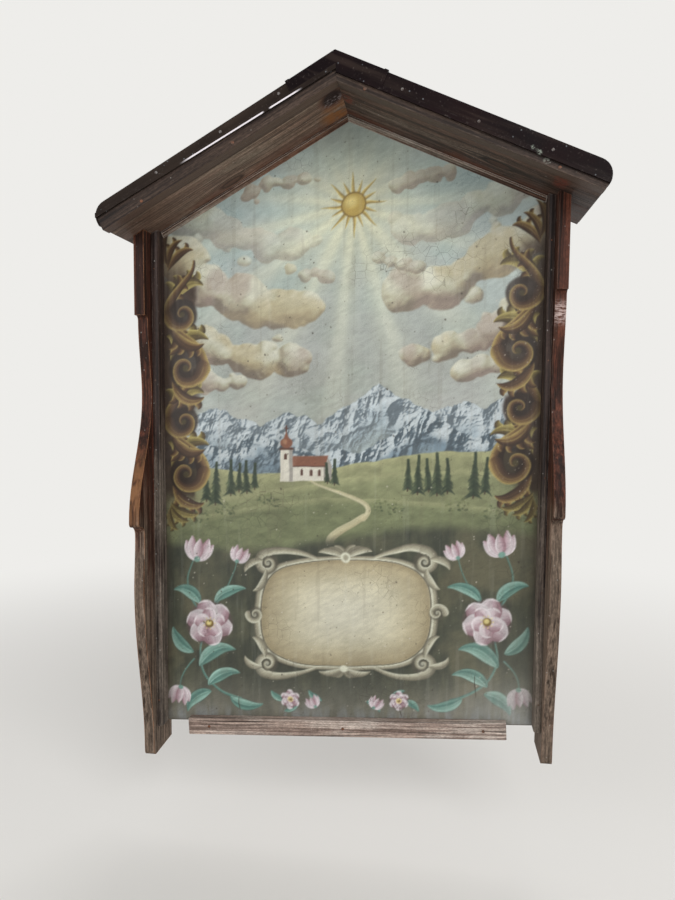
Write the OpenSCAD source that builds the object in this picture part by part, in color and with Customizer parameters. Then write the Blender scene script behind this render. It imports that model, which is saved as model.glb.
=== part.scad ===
// Wayside shrine: a painted memorial tablet in a wooden case, under a small gabled, sheet-clad roof.
// Millimetres, +Z up, and the front looks along -Y. The origin is on the tree face, at the middle
// of the upper back batten. The heights below are measured from the foot of the tablet.

/* [Tablet] */
// Height of the tablet's apex, which is also the ridge of the soffit
apex_h = 646; // [520:1:900]
// Thickness of the tablet's board
tablet_t = 12; // [6:1:24]
// Clearance between the tablet and each side board
tablet_gap = 1; // [0.5:0.1:3]

/* [Case] */
// Clear width between the side boards
case_w = 416; // [340:1:700]
// Thickness of a side board
side_t = 11; // [8:1:24]
// How far the side boards run below the tablet's foot
foot_drop = 31; // [15:1:80]
// How far the case stands out of square, in degrees, with its right side higher
rack = 3; // [0:0.1:4]

/* [Contour of the side boards] */
// Projection ahead of the tablet, from the soffit down to the step
front_top = 38; // [32:1:70]
// Drop from the soffit to the step
step_drop = 91; // [50:1:160]
// Set-back of the step
step_back = 4; // [2:0.5:8]
// Radius of the small cove under the step
step_r = 5; // [2:0.5:8]
// Set-back of the long hollow from the top
hollow_back = 17; // [12:1:24]
// Height of the nose's lower corner
nose_h = 230; // [150:1:290]
// How far the nose stands ahead of the hollow
nose_out = 38; // [15:1:50]
// Radius of the nose's lower corner
nose_r = 5; // [2:0.5:8]
// Radius of the cove under the nose
cove_r = 10; // [5:0.5:16]
// Drop from the nose to the belly
belly_drop = 72; // [40:1:110]
// How far the belly stands ahead of the cove
belly_out = 4; // [2:1:20]
// Set-back of the foot from the belly
foot_back = 23; // [4:1:26]
// Radius of the foot's front corner
foot_r = 6; // [2:0.5:10]

/* [Beads] */
// Width of the upright bead that holds the tablet
bead_w = 7; // [5:0.5:12]
// Depth of the upright bead
bead_d = 18; // [8:0.5:24]
// Radius of the upright bead's rounded corner
bead_r = 4; // [1:0.5:5]
// Width of the bead along the gable
gable_bead_w = 5; // [4:0.5:10]
// Depth of the bead along the gable
gable_bead_d = 7; // [5:0.5:14]

/* [Bottom rail] */
// Distance of the rail's end from the side board
rail_inset = 34; // [10:1:80]
// How far the rail stands ahead of the tablet
rail_front = 10; // [6:1:20]
// How far the rail laps over the tablet's foot
rail_lap = 6; // [3:1:15]
// How far the rail hangs below the tablet's foot
rail_drop = 12; // [8:1:30]

/* [Back] */
// Thickness of the back boards
back_t = 16; // [10:1:24]
// Gap between two back boards
board_gap = 1.5; // [1:0.5:4]
// Thickness of the battens against the tree
batten_t = 24; // [15:1:40]
// Width of a batten
batten_w = 50; // [35:1:80]
// Distance of a batten's end from the side board
batten_inset = 18; // [4:1:60]
// Drop from the soffit at the side boards to the middle of the upper batten
upper_batten_drop = 72; // [50:1:200]
// Height of the lower batten's middle
lower_batten_h = 70; // [40:1:150]

/* [Roof] */
// Pitch of the roof, in degrees
pitch = 26.5; // [18:0.5:40]
// Thickness of a roof board
roof_t = 20; // [14:1:30]
// How far the bargeboard's face stands ahead of the tablet
roof_front = 92; // [60:1:140]
// Radius of the bend over the eave, which the wood below shares
eave_r = 15; // [6:1:18]
// Overhang of the soffit beyond the side boards, measured level
eave_out = 15; // [8:1:60]
// Gap between the roof's back edge and the tree face
roof_back_gap = 4; // [2:1:15]
// Thickness of the bargeboard
barge_t = 14; // [8:1:24]
// How far the bargeboard hangs below the soffit
barge_drop = 2; // [1:0.5:8]

/* [Roof sheet] */
// Thickness of the sheet metal
sheet_t = 1; // [0.6:0.1:2]
// Height of the front drip edge on the right
drip_h = 17; // [12:1:24]
// How much less high the left drip edge is at the ridge
left_cut = 3; // [0:0.5:4]
// How much height the left drip edge loses from the ridge to the eave
left_taper = 4; // [0:0.5:5]
// Thickness of the hem folded on the drip edge
hem_t = 1.5; // [1:0.5:4]
// Height of the hem folded on the drip edge
hem_h = 4; // [3:0.5:8]
// Height of the fold below the bend at the eave
eave_fold_h = 3; // [1:0.5:5]
// Width of the ridge cap on each slope
cap_w = 42; // [30:1:90]
// How far the ridge cap turns down over the drip edge
cap_drip_h = 13; // [4:0.5:13]
// Width of the hem folded along the ridge cap's edges
cap_hem_w = 4; // [2:0.5:8]

/* [Hidden] */
BACK_BOARDS = 5;
LEFT = -1;
RIGHT = 1;

// Clearance of a cut edge from the sloping piece that it meets
seat = 0.3;

// Planes across the depth, from the tree to the front
back_y = -batten_t;
lining_y = back_y - back_t;
tablet_y = lining_y - tablet_t;
barge_y = tablet_y - roof_front;
board_y = barge_y + barge_t;
sheet_y = barge_y - sheet_t;
roof_back_y = -roof_back_gap;

// Widths, heights and lengths that follow
case_half = case_w / 2;
side_out = case_half + side_t;
bead_in = case_half - bead_w;
slope_l = (side_out + eave_out) / cos(pitch);
sheet_top = roof_t + sheet_t;
drip_low = sheet_top - drip_h;
hem_y = sheet_y - hem_t;
bend_r = min(eave_r, roof_t - 6);
fold_low = roof_t - bend_r - eave_fold_h;
shoulder_h = apex_h - case_half * tan(pitch);
step_h = shoulder_h - step_drop;
upper_batten_h = shoulder_h - upper_batten_drop;
batten_l = case_w - 2 * batten_inset;
rail_l = case_w - 2 * rail_inset;
reach = 3 * (slope_l + apex_h);

// Projections of the side boards' contour
front_step = front_top - step_back;
front_hollow = front_top - hollow_back;
front_nose = front_hollow + nose_out;
front_cove = front_nose - nose_r - cove_r;
front_belly = front_cove + belly_out;
front_foot = front_belly - foot_back;
hollow_h = nose_h + 0.62 * (step_h - nose_h);
cove_h = nose_h - cove_r;
belly_h = nose_h - belly_drop;

// Colours
stained_wood = [0.33, 0.23, 0.18];
red_wood = [0.42, 0.24, 0.19];
back_wood = [0.40, 0.33, 0.27];
pale_wood = [0.59, 0.49, 0.45];
sheet_metal = [0.20, 0.15, 0.16];
sky_paint = [0.66, 0.70, 0.68];

// Height of the soffit at a place on X, and rise of a level piece there
function soffit(x) = apex_h - abs(x) * tan(pitch - sign(x) * rack);
function rise(x) = x * tan(rack);

// Points on an arc round a centre, from one angle to another
function arc(c, r, a0, a1, n = 8) =
    [for (i = [0:n]) let (a = a0 + (a1 - a0) * i / n) c + r * [cos(a), sin(a)]];

// Points that ease from one point down to another, upright at both ends
function ease(p, q, n = 12) =
    [for (i = [0:n]) [p[0] + (q[0] - p[0]) * (1 - cos(180 * i / n)) / 2, p[1] + (q[1] - p[1]) * i / n]];

// Sets a piece drawn from the tablet's foot at its height over the origin
module set() translate([0, 0, -upper_batten_h]) children();

// Mirrors a piece drawn for the right when it goes on the left
module sided(side) {
    if (side == LEFT) mirror([1, 0, 0]) children();
    else children();
}

// Turns a level piece about a height on the middle line, as far as the case is out of square
module levelled(h) translate([0, 0, h]) rotate([0, -rack, 0]) children();

// Gives depth to an outline in X and height, from a front plane to a back plane
module across(y_front, y_back)
    translate([0, y_back, 0]) rotate([90, 0, 0])
        linear_extrude(y_back - y_front) children();

// A rectangle from its lowest to its highest corner
module span(y0, y1, z0, z1) translate([y0, z0]) square([y1 - y0, z1 - z0]);

// An outline from the level foot up to the soffit, less the seat, between two places on X
module under_soffit(x0, x1, drop = 0)
    polygon(concat([[x0, rise(x0) - drop], [x1, rise(x1) - drop], [x1, soffit(x1) - seat]],
        x0 < 0 && x1 > 0 ? [[0, apex_h - seat]] : [],
        [[x0, soffit(x0) - seat]]));

// Runs a section in Y and height above the soffit down one slope, mitred at the ridge
module down_slope(side, length)
    levelled(apex_h) sided(side) intersection() {
        rotate([0, pitch, 0]) translate([length - reach, 0, 0]) rotate([90, 0, 90])
            linear_extrude(reach) children();
        translate([0, -reach / 2, -reach / 2]) cube([reach, reach, reach]);
    }

// Gives depth to an outline in length down one slope and height above the soffit, mitred at the ridge
module on_slope(side, y_front, y_back)
    levelled(apex_h) sided(side) intersection() {
        rotate([0, pitch, 0]) across(y_front, y_back) children();
        translate([0, -reach / 2, -reach / 2]) cube([reach, reach, reach]);
    }

// Outline of one slope down to a level, rounded over the eave, and grown outwards for the sheet
module slope_outline(low, grow = 0)
    polygon(concat([[-2 * sheet_top, low], [slope_l + grow, low]],
        arc([slope_l - bend_r, roof_t - bend_r], bend_r + grow, 0, 90),
        [[-2 * sheet_top, roof_t + grow]]));

module batten(h)
    color(back_wood) set() levelled(h)
        translate([-batten_l / 2, back_y, -batten_w / 2]) cube([batten_l, batten_t, batten_w]);

module back_batten_upper() batten(upper_batten_h);
module back_batten_lower() batten(lower_batten_h);

// One upright board of the back, counted from the left
module back_board(i) {
    step_w = (case_w - 2 * seat + board_gap) / BACK_BOARDS;
    x0 = -case_half + seat + (i - 1) * step_w;
    color(back_wood) set() across(lining_y, back_y) under_soffit(x0, x0 + step_w - board_gap);
}

module tablet()
    color(sky_paint) set() across(tablet_y, lining_y)
        under_soffit(-case_half + tablet_gap, case_half - tablet_gap);

// Front contour of a side board as [projection ahead of the tablet, height], from the soffit down
contour = concat(
    [[front_top, apex_h], [front_top, step_h]],
    arc([front_step, step_h - step_r], step_r, 90, 180),
    ease([front_step - step_r, step_h - step_r], [front_hollow, hollow_h]),
    ease([front_hollow, hollow_h], [front_nose, nose_h + nose_r]),
    arc([front_nose - nose_r, nose_h + nose_r], nose_r, 0, -90),
    arc([front_nose - nose_r, cove_h], cove_r, 90, 180),
    ease([front_cove, cove_h], [front_belly, belly_h]),
    ease([front_belly, belly_h], [front_foot, foot_r - foot_drop]),
    arc([front_foot - foot_r, foot_r - foot_drop], foot_r, 0, -90));

module side_board(side) {
    x0 = side == LEFT ? -side_out : case_half;
    color(red_wood) set() intersection() {
        translate([x0, 0, rise(side * case_half)]) rotate([90, 0, 90]) linear_extrude(side_t)
            polygon(concat([for (p = contour) [tablet_y - p[0], p[1]]],
                [[back_y, -foot_drop], [back_y, apex_h]]));
        across(tablet_y - reach, back_y) under_soffit(x0, x0 + side_t, 2 * foot_drop);
    }
}

module side_board_left() side_board(LEFT);
module side_board_right() side_board(RIGHT);

// Upright bead in front of the tablet, with its inner front corner rounded
module bead(side) {
    x_out = case_half - seat;
    color(stained_wood) set() intersection() {
        sided(side) translate([0, 0, -foot_drop]) linear_extrude(reach)
            polygon(concat([[x_out, tablet_y], [bead_in, tablet_y]],
                arc([bead_in + bead_r, tablet_y - bead_d + bead_r], bead_r, 180, 270),
                [[x_out, tablet_y - bead_d]]));
        across(tablet_y - reach, tablet_y)
            under_soffit(side == LEFT ? -x_out : bead_in, side == LEFT ? -bead_in : x_out);
    }
}

module bead_left() bead(LEFT);
module bead_right() bead(RIGHT);

// Bead along the top of the tablet, from the ridge to the upright bead, with a sloping face
module gable_bead(side) {
    x_end = bead_in - seat;
    color(stained_wood) set() intersection() {
        down_slope(side, slope_l)
            polygon([[tablet_y, -seat], [tablet_y - gable_bead_d, -seat],
                [tablet_y - gable_bead_d, -gable_bead_w / 2], [tablet_y, -gable_bead_w]]);
        translate([-x_end, tablet_y - reach, 0]) cube([2 * x_end, reach, reach]);
    }
}

module gable_bead_left() gable_bead(LEFT);
module gable_bead_right() gable_bead(RIGHT);

// Rebated rail: its front laps over the tablet's foot, and its shelf carries tablet and back
module bottom_rail()
    color(pale_wood) set() levelled(0) translate([-rail_l / 2, 0, 0]) rotate([90, 0, 90])
        linear_extrude(rail_l)
            polygon([[tablet_y - rail_front, -rail_drop], [back_y, -rail_drop], [back_y, 0],
                [tablet_y, 0], [tablet_y, rail_lap], [tablet_y - rail_front, rail_lap]]);

module roof_board(side)
    color(stained_wood) set() on_slope(side, board_y, roof_back_y) slope_outline(0);

module roof_board_left() roof_board(LEFT);
module roof_board_right() roof_board(RIGHT);

module bargeboard(side)
    color(stained_wood) set() on_slope(side, barge_y, board_y) slope_outline(-barge_drop);

module bargeboard_left() bargeboard(LEFT);
module bargeboard_right() bargeboard(RIGHT);

// Strip down one slope between two levels at the ridge, which may rise towards the eave
module strip(length, low, high, low_rise, high_rise = 0)
    polygon([for (p = [[-2 * sheet_top, low, low_rise], [length, low, low_rise],
        [length, high, high_rise], [-2 * sheet_top, high, high_rise]])
        [p[0], p[1] + p[2] * p[0] / slope_l]]);

// Part of the sheet's outline that lies in such a strip
module sheet_strip(low, high, low_rise, high_rise = 0) intersection() {
    slope_outline(fold_low, sheet_t);
    strip(slope_l + 2 * sheet_t, low, high, low_rise, high_rise);
}

// Lower edge of the drip edge at the ridge, and its rise towards the eave
function drip_foot(side) = side == LEFT ? drip_low + left_cut : drip_low;
function drip_rise(side) = side == LEFT ? left_taper : 0;

// Sheet on one slope, bent over the eave and turned down over the bargeboard, with a hemmed edge
module roof_sheet(side)
    color(sheet_metal) set() {
        on_slope(side, sheet_y, roof_back_y) difference() {
            slope_outline(fold_low, sheet_t);
            slope_outline(fold_low - sheet_t);
        }
        on_slope(side, sheet_y, barge_y)
            sheet_strip(drip_foot(side), sheet_top, drip_rise(side));
        on_slope(side, hem_y, barge_y)
            sheet_strip(drip_foot(side), drip_foot(side) + hem_h, drip_rise(side), drip_rise(side));
    }

module roof_sheet_left() roof_sheet(LEFT);
module roof_sheet_right() roof_sheet(RIGHT);

// Strip over the joint of the two sheets, hemmed along its lower edges and turned down in front
module ridge_cap()
    color(sheet_metal) set() for (side = [LEFT, RIGHT]) {
        on_slope(side, sheet_y, roof_back_y) {
            span(-2 * sheet_top, cap_w, sheet_top, sheet_top + sheet_t);
            span(cap_w - cap_hem_w, cap_w, sheet_top, sheet_top + 2 * sheet_t);
        }
        on_slope(side, sheet_y - sheet_t, sheet_y)
            strip(cap_w, max(sheet_top - cap_drip_h, drip_foot(side) + hem_h),
                sheet_top + sheet_t, drip_rise(side));
    }

back_batten_upper();
back_batten_lower();
back_board(1);  // back_board_1
back_board(2);  // back_board_2
back_board(3);  // back_board_3
back_board(4);  // back_board_4
back_board(5);  // back_board_5
tablet();
side_board_left();
side_board_right();
bead_left();
bead_right();
gable_bead_left();
gable_bead_right();
bottom_rail();
roof_board_left();
roof_board_right();
bargeboard_left();
bargeboard_right();
roof_sheet_left();
roof_sheet_right();
ridge_cap();
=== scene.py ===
"""Looks of a hanging wayside shrine: stained and weathered wood, dark sheet metal, a painted
tablet and nail heads, in a plain studio."""
import math

import bmesh
import bpy
import numpy as np
from mathutils import Matrix, Vector


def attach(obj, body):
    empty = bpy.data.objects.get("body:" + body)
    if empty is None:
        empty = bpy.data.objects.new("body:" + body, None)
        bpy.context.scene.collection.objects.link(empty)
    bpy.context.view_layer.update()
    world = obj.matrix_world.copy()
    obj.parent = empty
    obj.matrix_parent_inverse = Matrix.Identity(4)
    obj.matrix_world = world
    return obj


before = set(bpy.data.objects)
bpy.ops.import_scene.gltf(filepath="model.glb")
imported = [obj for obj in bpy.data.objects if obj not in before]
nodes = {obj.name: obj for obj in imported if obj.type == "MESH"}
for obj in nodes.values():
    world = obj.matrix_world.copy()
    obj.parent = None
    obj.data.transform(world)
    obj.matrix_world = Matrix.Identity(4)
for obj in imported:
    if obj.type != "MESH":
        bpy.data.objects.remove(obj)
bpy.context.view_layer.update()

MM = 0.001
OUTWARD = {"left": -1, "right": 1}


# Sizes read from the frame, in millimetres

def corners(node):
    """A node's vertices as an array of millimetres."""
    return np.array([v.co for v in nodes[node].data.vertices]) / MM


tablet = corners("tablet")
half_w = tablet[:, 0].max()
face_y = tablet[:, 1].min()
apex_z = tablet[:, 2].max()
edge_z = {side: tablet[out * tablet[:, 0] > half_w - 1, 2] for side, out in OUTWARD.items()}
fall = {side: math.atan2(apex_z - edge_z[side].max(), half_w) for side in OUTWARD}
foot_rise = (edge_z["right"].min() - edge_z["left"].min()) / (2 * half_w)
foot_z = (edge_z["right"].min() + edge_z["left"].min()) / 2
level = math.atan(foot_rise)
sight_half = corners("bead_right")[:, 0].min() - 0.1
back_boards = corners("back_board_1")[:, 1]
barge_y = corners("bargeboard_left")[:, 1]


def foot(x):
    """Height of the tablet's foot at a place on X, since the case stands out of square."""
    return foot_z + foot_rise * x


def slope_up(side):
    """The unit normal of a slope, in X and Z."""
    return np.array([OUTWARD[side] * math.sin(fall[side]), math.cos(fall[side])])


def slope_down(side):
    """The direction down a slope, in X and Z."""
    return np.array([OUTWARD[side] * math.cos(fall[side]), -math.sin(fall[side])])


def on_slope(place, side):
    """How far places in X and Z lie down a slope and above it, from the tablet's apex."""
    return (place - (0, apex_z)) @ slope_down(side), (place - (0, apex_z)) @ slope_up(side)


# Camera, lamps and floor

def make_camera(place, turn_left, tip_down, roll, lens):
    """A camera that looks along +Y, then is rolled, tipped and turned, in degrees."""
    data = bpy.data.cameras.new("camera")
    data.sensor_width = 36
    data.lens = lens
    camera = bpy.data.objects.new("camera", data)
    turn = (Matrix.Rotation(math.radians(turn_left), 4, "Z")
            @ Matrix.Rotation(math.radians(-tip_down), 4, "X")
            @ Matrix.Rotation(math.radians(roll), 4, "Y")
            @ Matrix.Rotation(math.radians(90), 4, "X"))
    camera.matrix_world = Matrix.Translation(Vector(place) * MM) @ turn
    bpy.context.scene.collection.objects.link(camera)
    bpy.context.scene.camera = camera


def make_lamp(name, place, aim, size, power):
    """A square soft lamp, places in metres."""
    data = bpy.data.lights.new(name, "AREA")
    data.energy = power
    data.size = size
    lamp = bpy.data.objects.new(name, data)
    lamp.location = place
    lamp.rotation_euler = (Vector(aim) - Vector(place)).to_track_quat("-Z", "Y").to_euler()
    bpy.context.scene.collection.objects.link(lamp)


def make_world(ambient, backdrop):
    """Even light of one strength, and a pale tone where a ray sees the backdrop."""
    world = bpy.data.worlds.new("studio")
    bpy.context.scene.world = world
    world.use_nodes = True
    tree = world.node_tree
    tree.nodes.clear()
    path = add(tree, "LightPath")
    seen = maths("MAXIMUM", Signal(path, "Is Camera Ray"), Signal(path, "Is Glossy Ray"))
    seen = maths("MAXIMUM", seen, Signal(path, "Is Transmission Ray"))
    light = add(tree, "Background", {"Color": linear((255, 255, 255)), "Strength": ambient})
    sight = add(tree, "Background", {"Color": linear(backdrop)})
    mixed = add(tree, "MixShader", {0: seen, 1: Signal(light), 2: Signal(sight)})
    add(tree, "OutputWorld", {"Surface": Signal(mixed)})


def make_floor(height, colour, backdrop):
    """A wide pale floor below the hanging shrine, which turns into the backdrop with distance."""
    bm = bmesh.new()
    bmesh.ops.create_grid(bm, x_segments=1, y_segments=1, size=12)
    bmesh.ops.translate(bm, verts=bm.verts, vec=(0, 0, height * MM))
    material, shader, place = new_material("floor", 0.95, 0.0)
    far = fade(distance(vector("MULTIPLY", place, (1, 1, 0))), 0.45, 1.5)
    black = (0, 0, 0, 1)
    put(shader, "Base Color", blend(far, linear(colour), black))
    put(shader, "Emission Color", blend(far, black, linear(backdrop)))
    put(shader, "Emission Strength", 1.0)
    finish_mesh(bm, "floor", material)


def finish_mesh(bm, name, material):
    """Makes an object of a bmesh, in place."""
    mesh = bpy.data.meshes.new(name)
    bm.to_mesh(mesh)
    bm.free()
    mesh.materials.append(material)
    piece = bpy.data.objects.new(name, mesh)
    bpy.context.scene.collection.objects.link(piece)
    return piece


# Shader sums: a signal is a node's output, and adds and multiplies as a number does

class Signal:
    """One output of a shader node."""

    def __init__(self, node, output=0):
        self.socket = node.outputs[output]
        self.tree = self.socket.id_data

    def __add__(self, other):
        return maths("ADD", self, other)

    def __sub__(self, other):
        return maths("SUBTRACT", self, other)

    def __rsub__(self, other):
        return maths("SUBTRACT", other, self)

    def __mul__(self, other):
        return maths("MULTIPLY", self, other)

    def __truediv__(self, other):
        return maths("DIVIDE", self, other)

    def __abs__(self):
        return maths("ABSOLUTE", self)


def add(tree, kind, inputs=None, **settings):
    """A shader node with its settings and its inputs."""
    node = tree.nodes.new("ShaderNode" + kind)
    for name, value in settings.items():
        setattr(node, name, value)
    for name, value in (inputs or {}).items():
        put(node, name, value)
    return node


def put(node, name, value):
    """Sets an input of a shader node, or links a signal to it."""
    if isinstance(value, Signal):
        value.tree.links.new(value.socket, node.inputs[name])
    else:
        node.inputs[name].default_value = value


def maths(operation, a, b=0.0):
    """A sum on two values, one of them a signal."""
    tree = (a if isinstance(a, Signal) else b).tree
    return Signal(add(tree, "Math", {0: a, 1: b}, operation=operation))


def vector(operation, a, b=(0, 0, 0), output="Vector"):
    """A sum on two vectors, the first a signal."""
    return Signal(add(a.tree, "VectorMath", {0: a, 1: b}, operation=operation), output)


def distance(a, b=(0, 0, 0)):
    return vector("DISTANCE", a, b, "Value")


def shaded(colour, value):
    """A colour or another vector, times a value."""
    node = add(colour.tree, "VectorMath", {0: colour, "Scale": value}, operation="SCALE")
    return Signal(node)


def split(place):
    """The three parts of a vector."""
    node = add(place.tree, "SeparateXYZ", {0: place})
    return [Signal(node, k) for k in range(3)]


def fade(value, low, high, to_low=0.0, to_high=1.0):
    """Maps low..high smoothly to to_low..to_high."""
    return Signal(add(value.tree, "MapRange", {"Value": value, "From Min": low, "From Max": high,
                                               "To Min": to_low, "To Max": to_high},
                      interpolation_type="SMOOTHSTEP"))


def linear(colour):
    """An sRGB colour of 0 to 255 as linear light, with alpha."""
    return (*to_linear(np.asarray(colour, float) / 255), 1.0)


def to_linear(colour):
    """SRGB values of 0 to 1 as linear light."""
    return np.where(colour <= 0.04045, colour / 12.92, ((colour + 0.055) / 1.055) ** 2.4)


def blend(factor, a, b):
    """Blends two colours, by a signal."""
    return Signal(add(factor.tree, "Mix", {0: factor, 6: a, 7: b}, data_type="RGBA"), 2)


def coat(colour, mask, amount, new):
    """Lays an sRGB colour over a colour, where a mask says."""
    return blend(mask * amount, colour, linear(new))


def noise(place, stretch, detail=3.0, roughness=0.55, distortion=0.0):
    """Noise of so many cells a metre, in all or along each axis."""
    if np.ndim(stretch) == 0:
        stretch = (stretch, stretch, stretch)
    made = add(place.tree, "TexNoise", {"Vector": vector("MULTIPLY", place, stretch), "Scale": 1.0,
                                        "Detail": detail, "Roughness": roughness,
                                        "Distortion": distortion})
    return Signal(made, "Fac")


def cells(place, scale, feature="F1"):
    """Distance from cells' middles, or from their edges."""
    made = add(place.tree, "TexVoronoi", {"Vector": place, "Scale": scale}, feature=feature)
    return Signal(made, "Distance")


def spot(place, centre, radii, soft=0.5):
    """A soft oval mask round a place in millimetres."""
    away = vector("SUBTRACT", place, tuple(c * MM for c in centre))
    away = vector("MULTIPLY", away, tuple(1 / (r * MM) for r in radii))
    return fade(distance(away), 1 + soft, 1 - soft)


def new_group(name, inputs, outputs):
    """A shader node group. Returns it, its inputs as signals, and its output node."""
    tree = bpy.data.node_groups.new(name, "ShaderNodeTree")
    for way, sockets in (("INPUT", inputs), ("OUTPUT", outputs)):
        for label, kind in sockets.items():
            tree.interface.new_socket(label, in_out=way, socket_type="NodeSocket" + kind)
    given = tree.nodes.new("NodeGroupInput")
    return tree, {label: Signal(given, label) for label in inputs}, tree.nodes.new("NodeGroupOutput")


def new_material(name, roughness=0.6, specular=0.4):
    """A material. Returns it, its Principled shader and the Object coordinates as a signal."""
    material = bpy.data.materials.new(name)
    material.use_nodes = True
    tree = material.node_tree
    shader = tree.nodes["Principled BSDF"]
    put(shader, "Roughness", roughness)
    put(shader, "Specular IOR Level", specular)
    return material, shader, Signal(add(tree, "TexCoord"), "Object")


def bump(shader, height, strength, depth):
    """Bump of a depth in metres at full height."""
    made = add(height.tree, "Bump", {"Height": height, "Strength": strength, "Distance": depth})
    put(shader, "Normal", Signal(made, "Normal"))


# Shared surface effects

def make_wood_group():
    """Grain, fibres, drying cracks, greying and one knot. X of Place runs along the grain."""
    tree, given, result = new_group(
        "weathered_wood",
        {"Place": "Vector", "Fresh": "Color", "Dark": "Color", "Grey": "Color", "Greying": "Float",
         "Cracks": "Float", "Knot": "Vector", "Knot Size": "Float", "End": "Float"},
        {"Color": "Color", "Roughness": "Float", "Height": "Float"})
    place, fresh, dark = given["Place"], given["Fresh"], given["Dark"]
    away = vector("MULTIPLY", vector("SUBTRACT", place, given["Knot"]), (0.45, 1.0, 1.0))
    reach = distance(away) / given["Knot Size"]
    bent = vector("ADD", place, shaded(away, fade(reach, 4.5, 1.0) * -0.55))
    rings = noise(bent, (2.2, 70.0, 70.0), 4.0, 0.6, 0.4)
    streaks = noise(bent, (5.0, 300.0, 300.0), 3.0, 0.65)
    fibres = noise(bent, (13.0, 760.0, 760.0), 3.0, 0.65)
    cleft = noise(bent, (3.5, 240.0, 240.0), 1.5, 0.5)
    blotch = noise(place, (7.0, 24.0, 24.0), 4.0, 0.6)
    mottle = noise(place, (70.0, 150.0, 150.0), 4.0, 0.7)
    pores = noise(place, (240.0, 700.0, 700.0), 2.0, 0.7)
    cracks = fade(cleft, 0.60, 0.66) * given["Cracks"]
    ring = fade(reach, 1.7, 1.15) * fade(reach, 0.75, 1.1)

    colour = blend(fade(rings * 0.5 + streaks * 0.5, 0.41, 0.59), dark, fresh)
    threshold = 1.0 - given["Greying"]
    greyed = fade(blotch + (streaks - 0.5) * 0.6, threshold - 0.14, threshold + 0.14)
    colour = blend(greyed * 0.85, colour, given["Grey"])
    for value, low, high, dim, bright in (
            (streaks, 0.38, 0.62, 0.80, 1.20), (fibres, 0.36, 0.64, 0.74, 1.28),
            (mottle, 0.36, 0.64, 0.86, 1.14), (pores, 0.34, 0.66, 0.76, 1.24)):
        colour = shaded(colour, fade(value, low, high, dim, bright))
    colour = coat(colour, cracks, 0.75, (22, 16, 13))
    colour = coat(colour, fade(reach, 1.15, 0.7), 0.65, (66, 40, 30))
    colour = coat(colour, ring, 0.8, (30, 20, 16))

    from_pith = distance(vector("MULTIPLY", place, (0, 1, 1)), PITH) + blotch * 0.012
    year = maths("SINE", from_pith * (2 * math.pi / YEAR_RING)) + (fibres - 0.5) * 3.0
    end_grain = blend(fade(year, -0.8, 1.0, 0.15, 0.75), dark, fresh)
    put(result, "Color", blend(given["End"], colour, shaded(end_grain, 0.85)))
    put(result, "Roughness", greyed * 0.35 + 0.50)
    put(result, "Height", streaks * 0.6 + fibres * 0.25 + pores * 0.2 - cracks * 0.8 - ring * 0.2)
    return tree


def make_edge_group():
    """A mask of outer edges, broken up by noise, for worn stain and worn paint."""
    tree, given, result = new_group("edge_wear", {"Place": "Vector", "Wear": "Float"},
                                    {"Mask": "Float"})
    soft = Signal(add(tree, "Bevel", {"Radius": 1.6 * MM}, samples=4), "Normal")
    true = Signal(add(tree, "NewGeometry"), "Normal")
    edge = fade(vector("DOT_PRODUCT", soft, true, "Value"), 0.995, 0.86)
    cut = 1.0 - given["Wear"]
    rub = noise(given["Place"], (60.0, 160.0, 160.0), 4.0, 0.65)
    put(result, "Mask", edge * fade(rub, cut - 0.12, cut + 0.12))
    return tree


def make_dust_group():
    """A mask of specks, so many a metre and a share of their cell wide, all over or in patches."""
    tree, given, result = new_group(
        "dust", {"Place": "Vector", "Scale": "Float", "Speck": "Float", "Patches": "Float"},
        {"Mask": "Float"})
    speck = fade(cells(given["Place"], given["Scale"]), given["Speck"], given["Speck"] * 0.5)
    patch = fade(noise(given["Place"], 26.0, 2.0), 0.40, 0.60)
    put(result, "Mask", speck * (1.0 - given["Patches"] * (1.0 - patch)))
    return tree


PITH = (0.0, 0.034, 0.051)
YEAR_RING = 0.0032
NO_KNOT = Vector((9.0, 9.0, 9.0))
FORWARD, DOWN = 1, 2
UPRIGHT = math.radians(90)
wood_group = make_wood_group()
edge_group = make_edge_group()
dust_group = make_dust_group()


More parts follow.
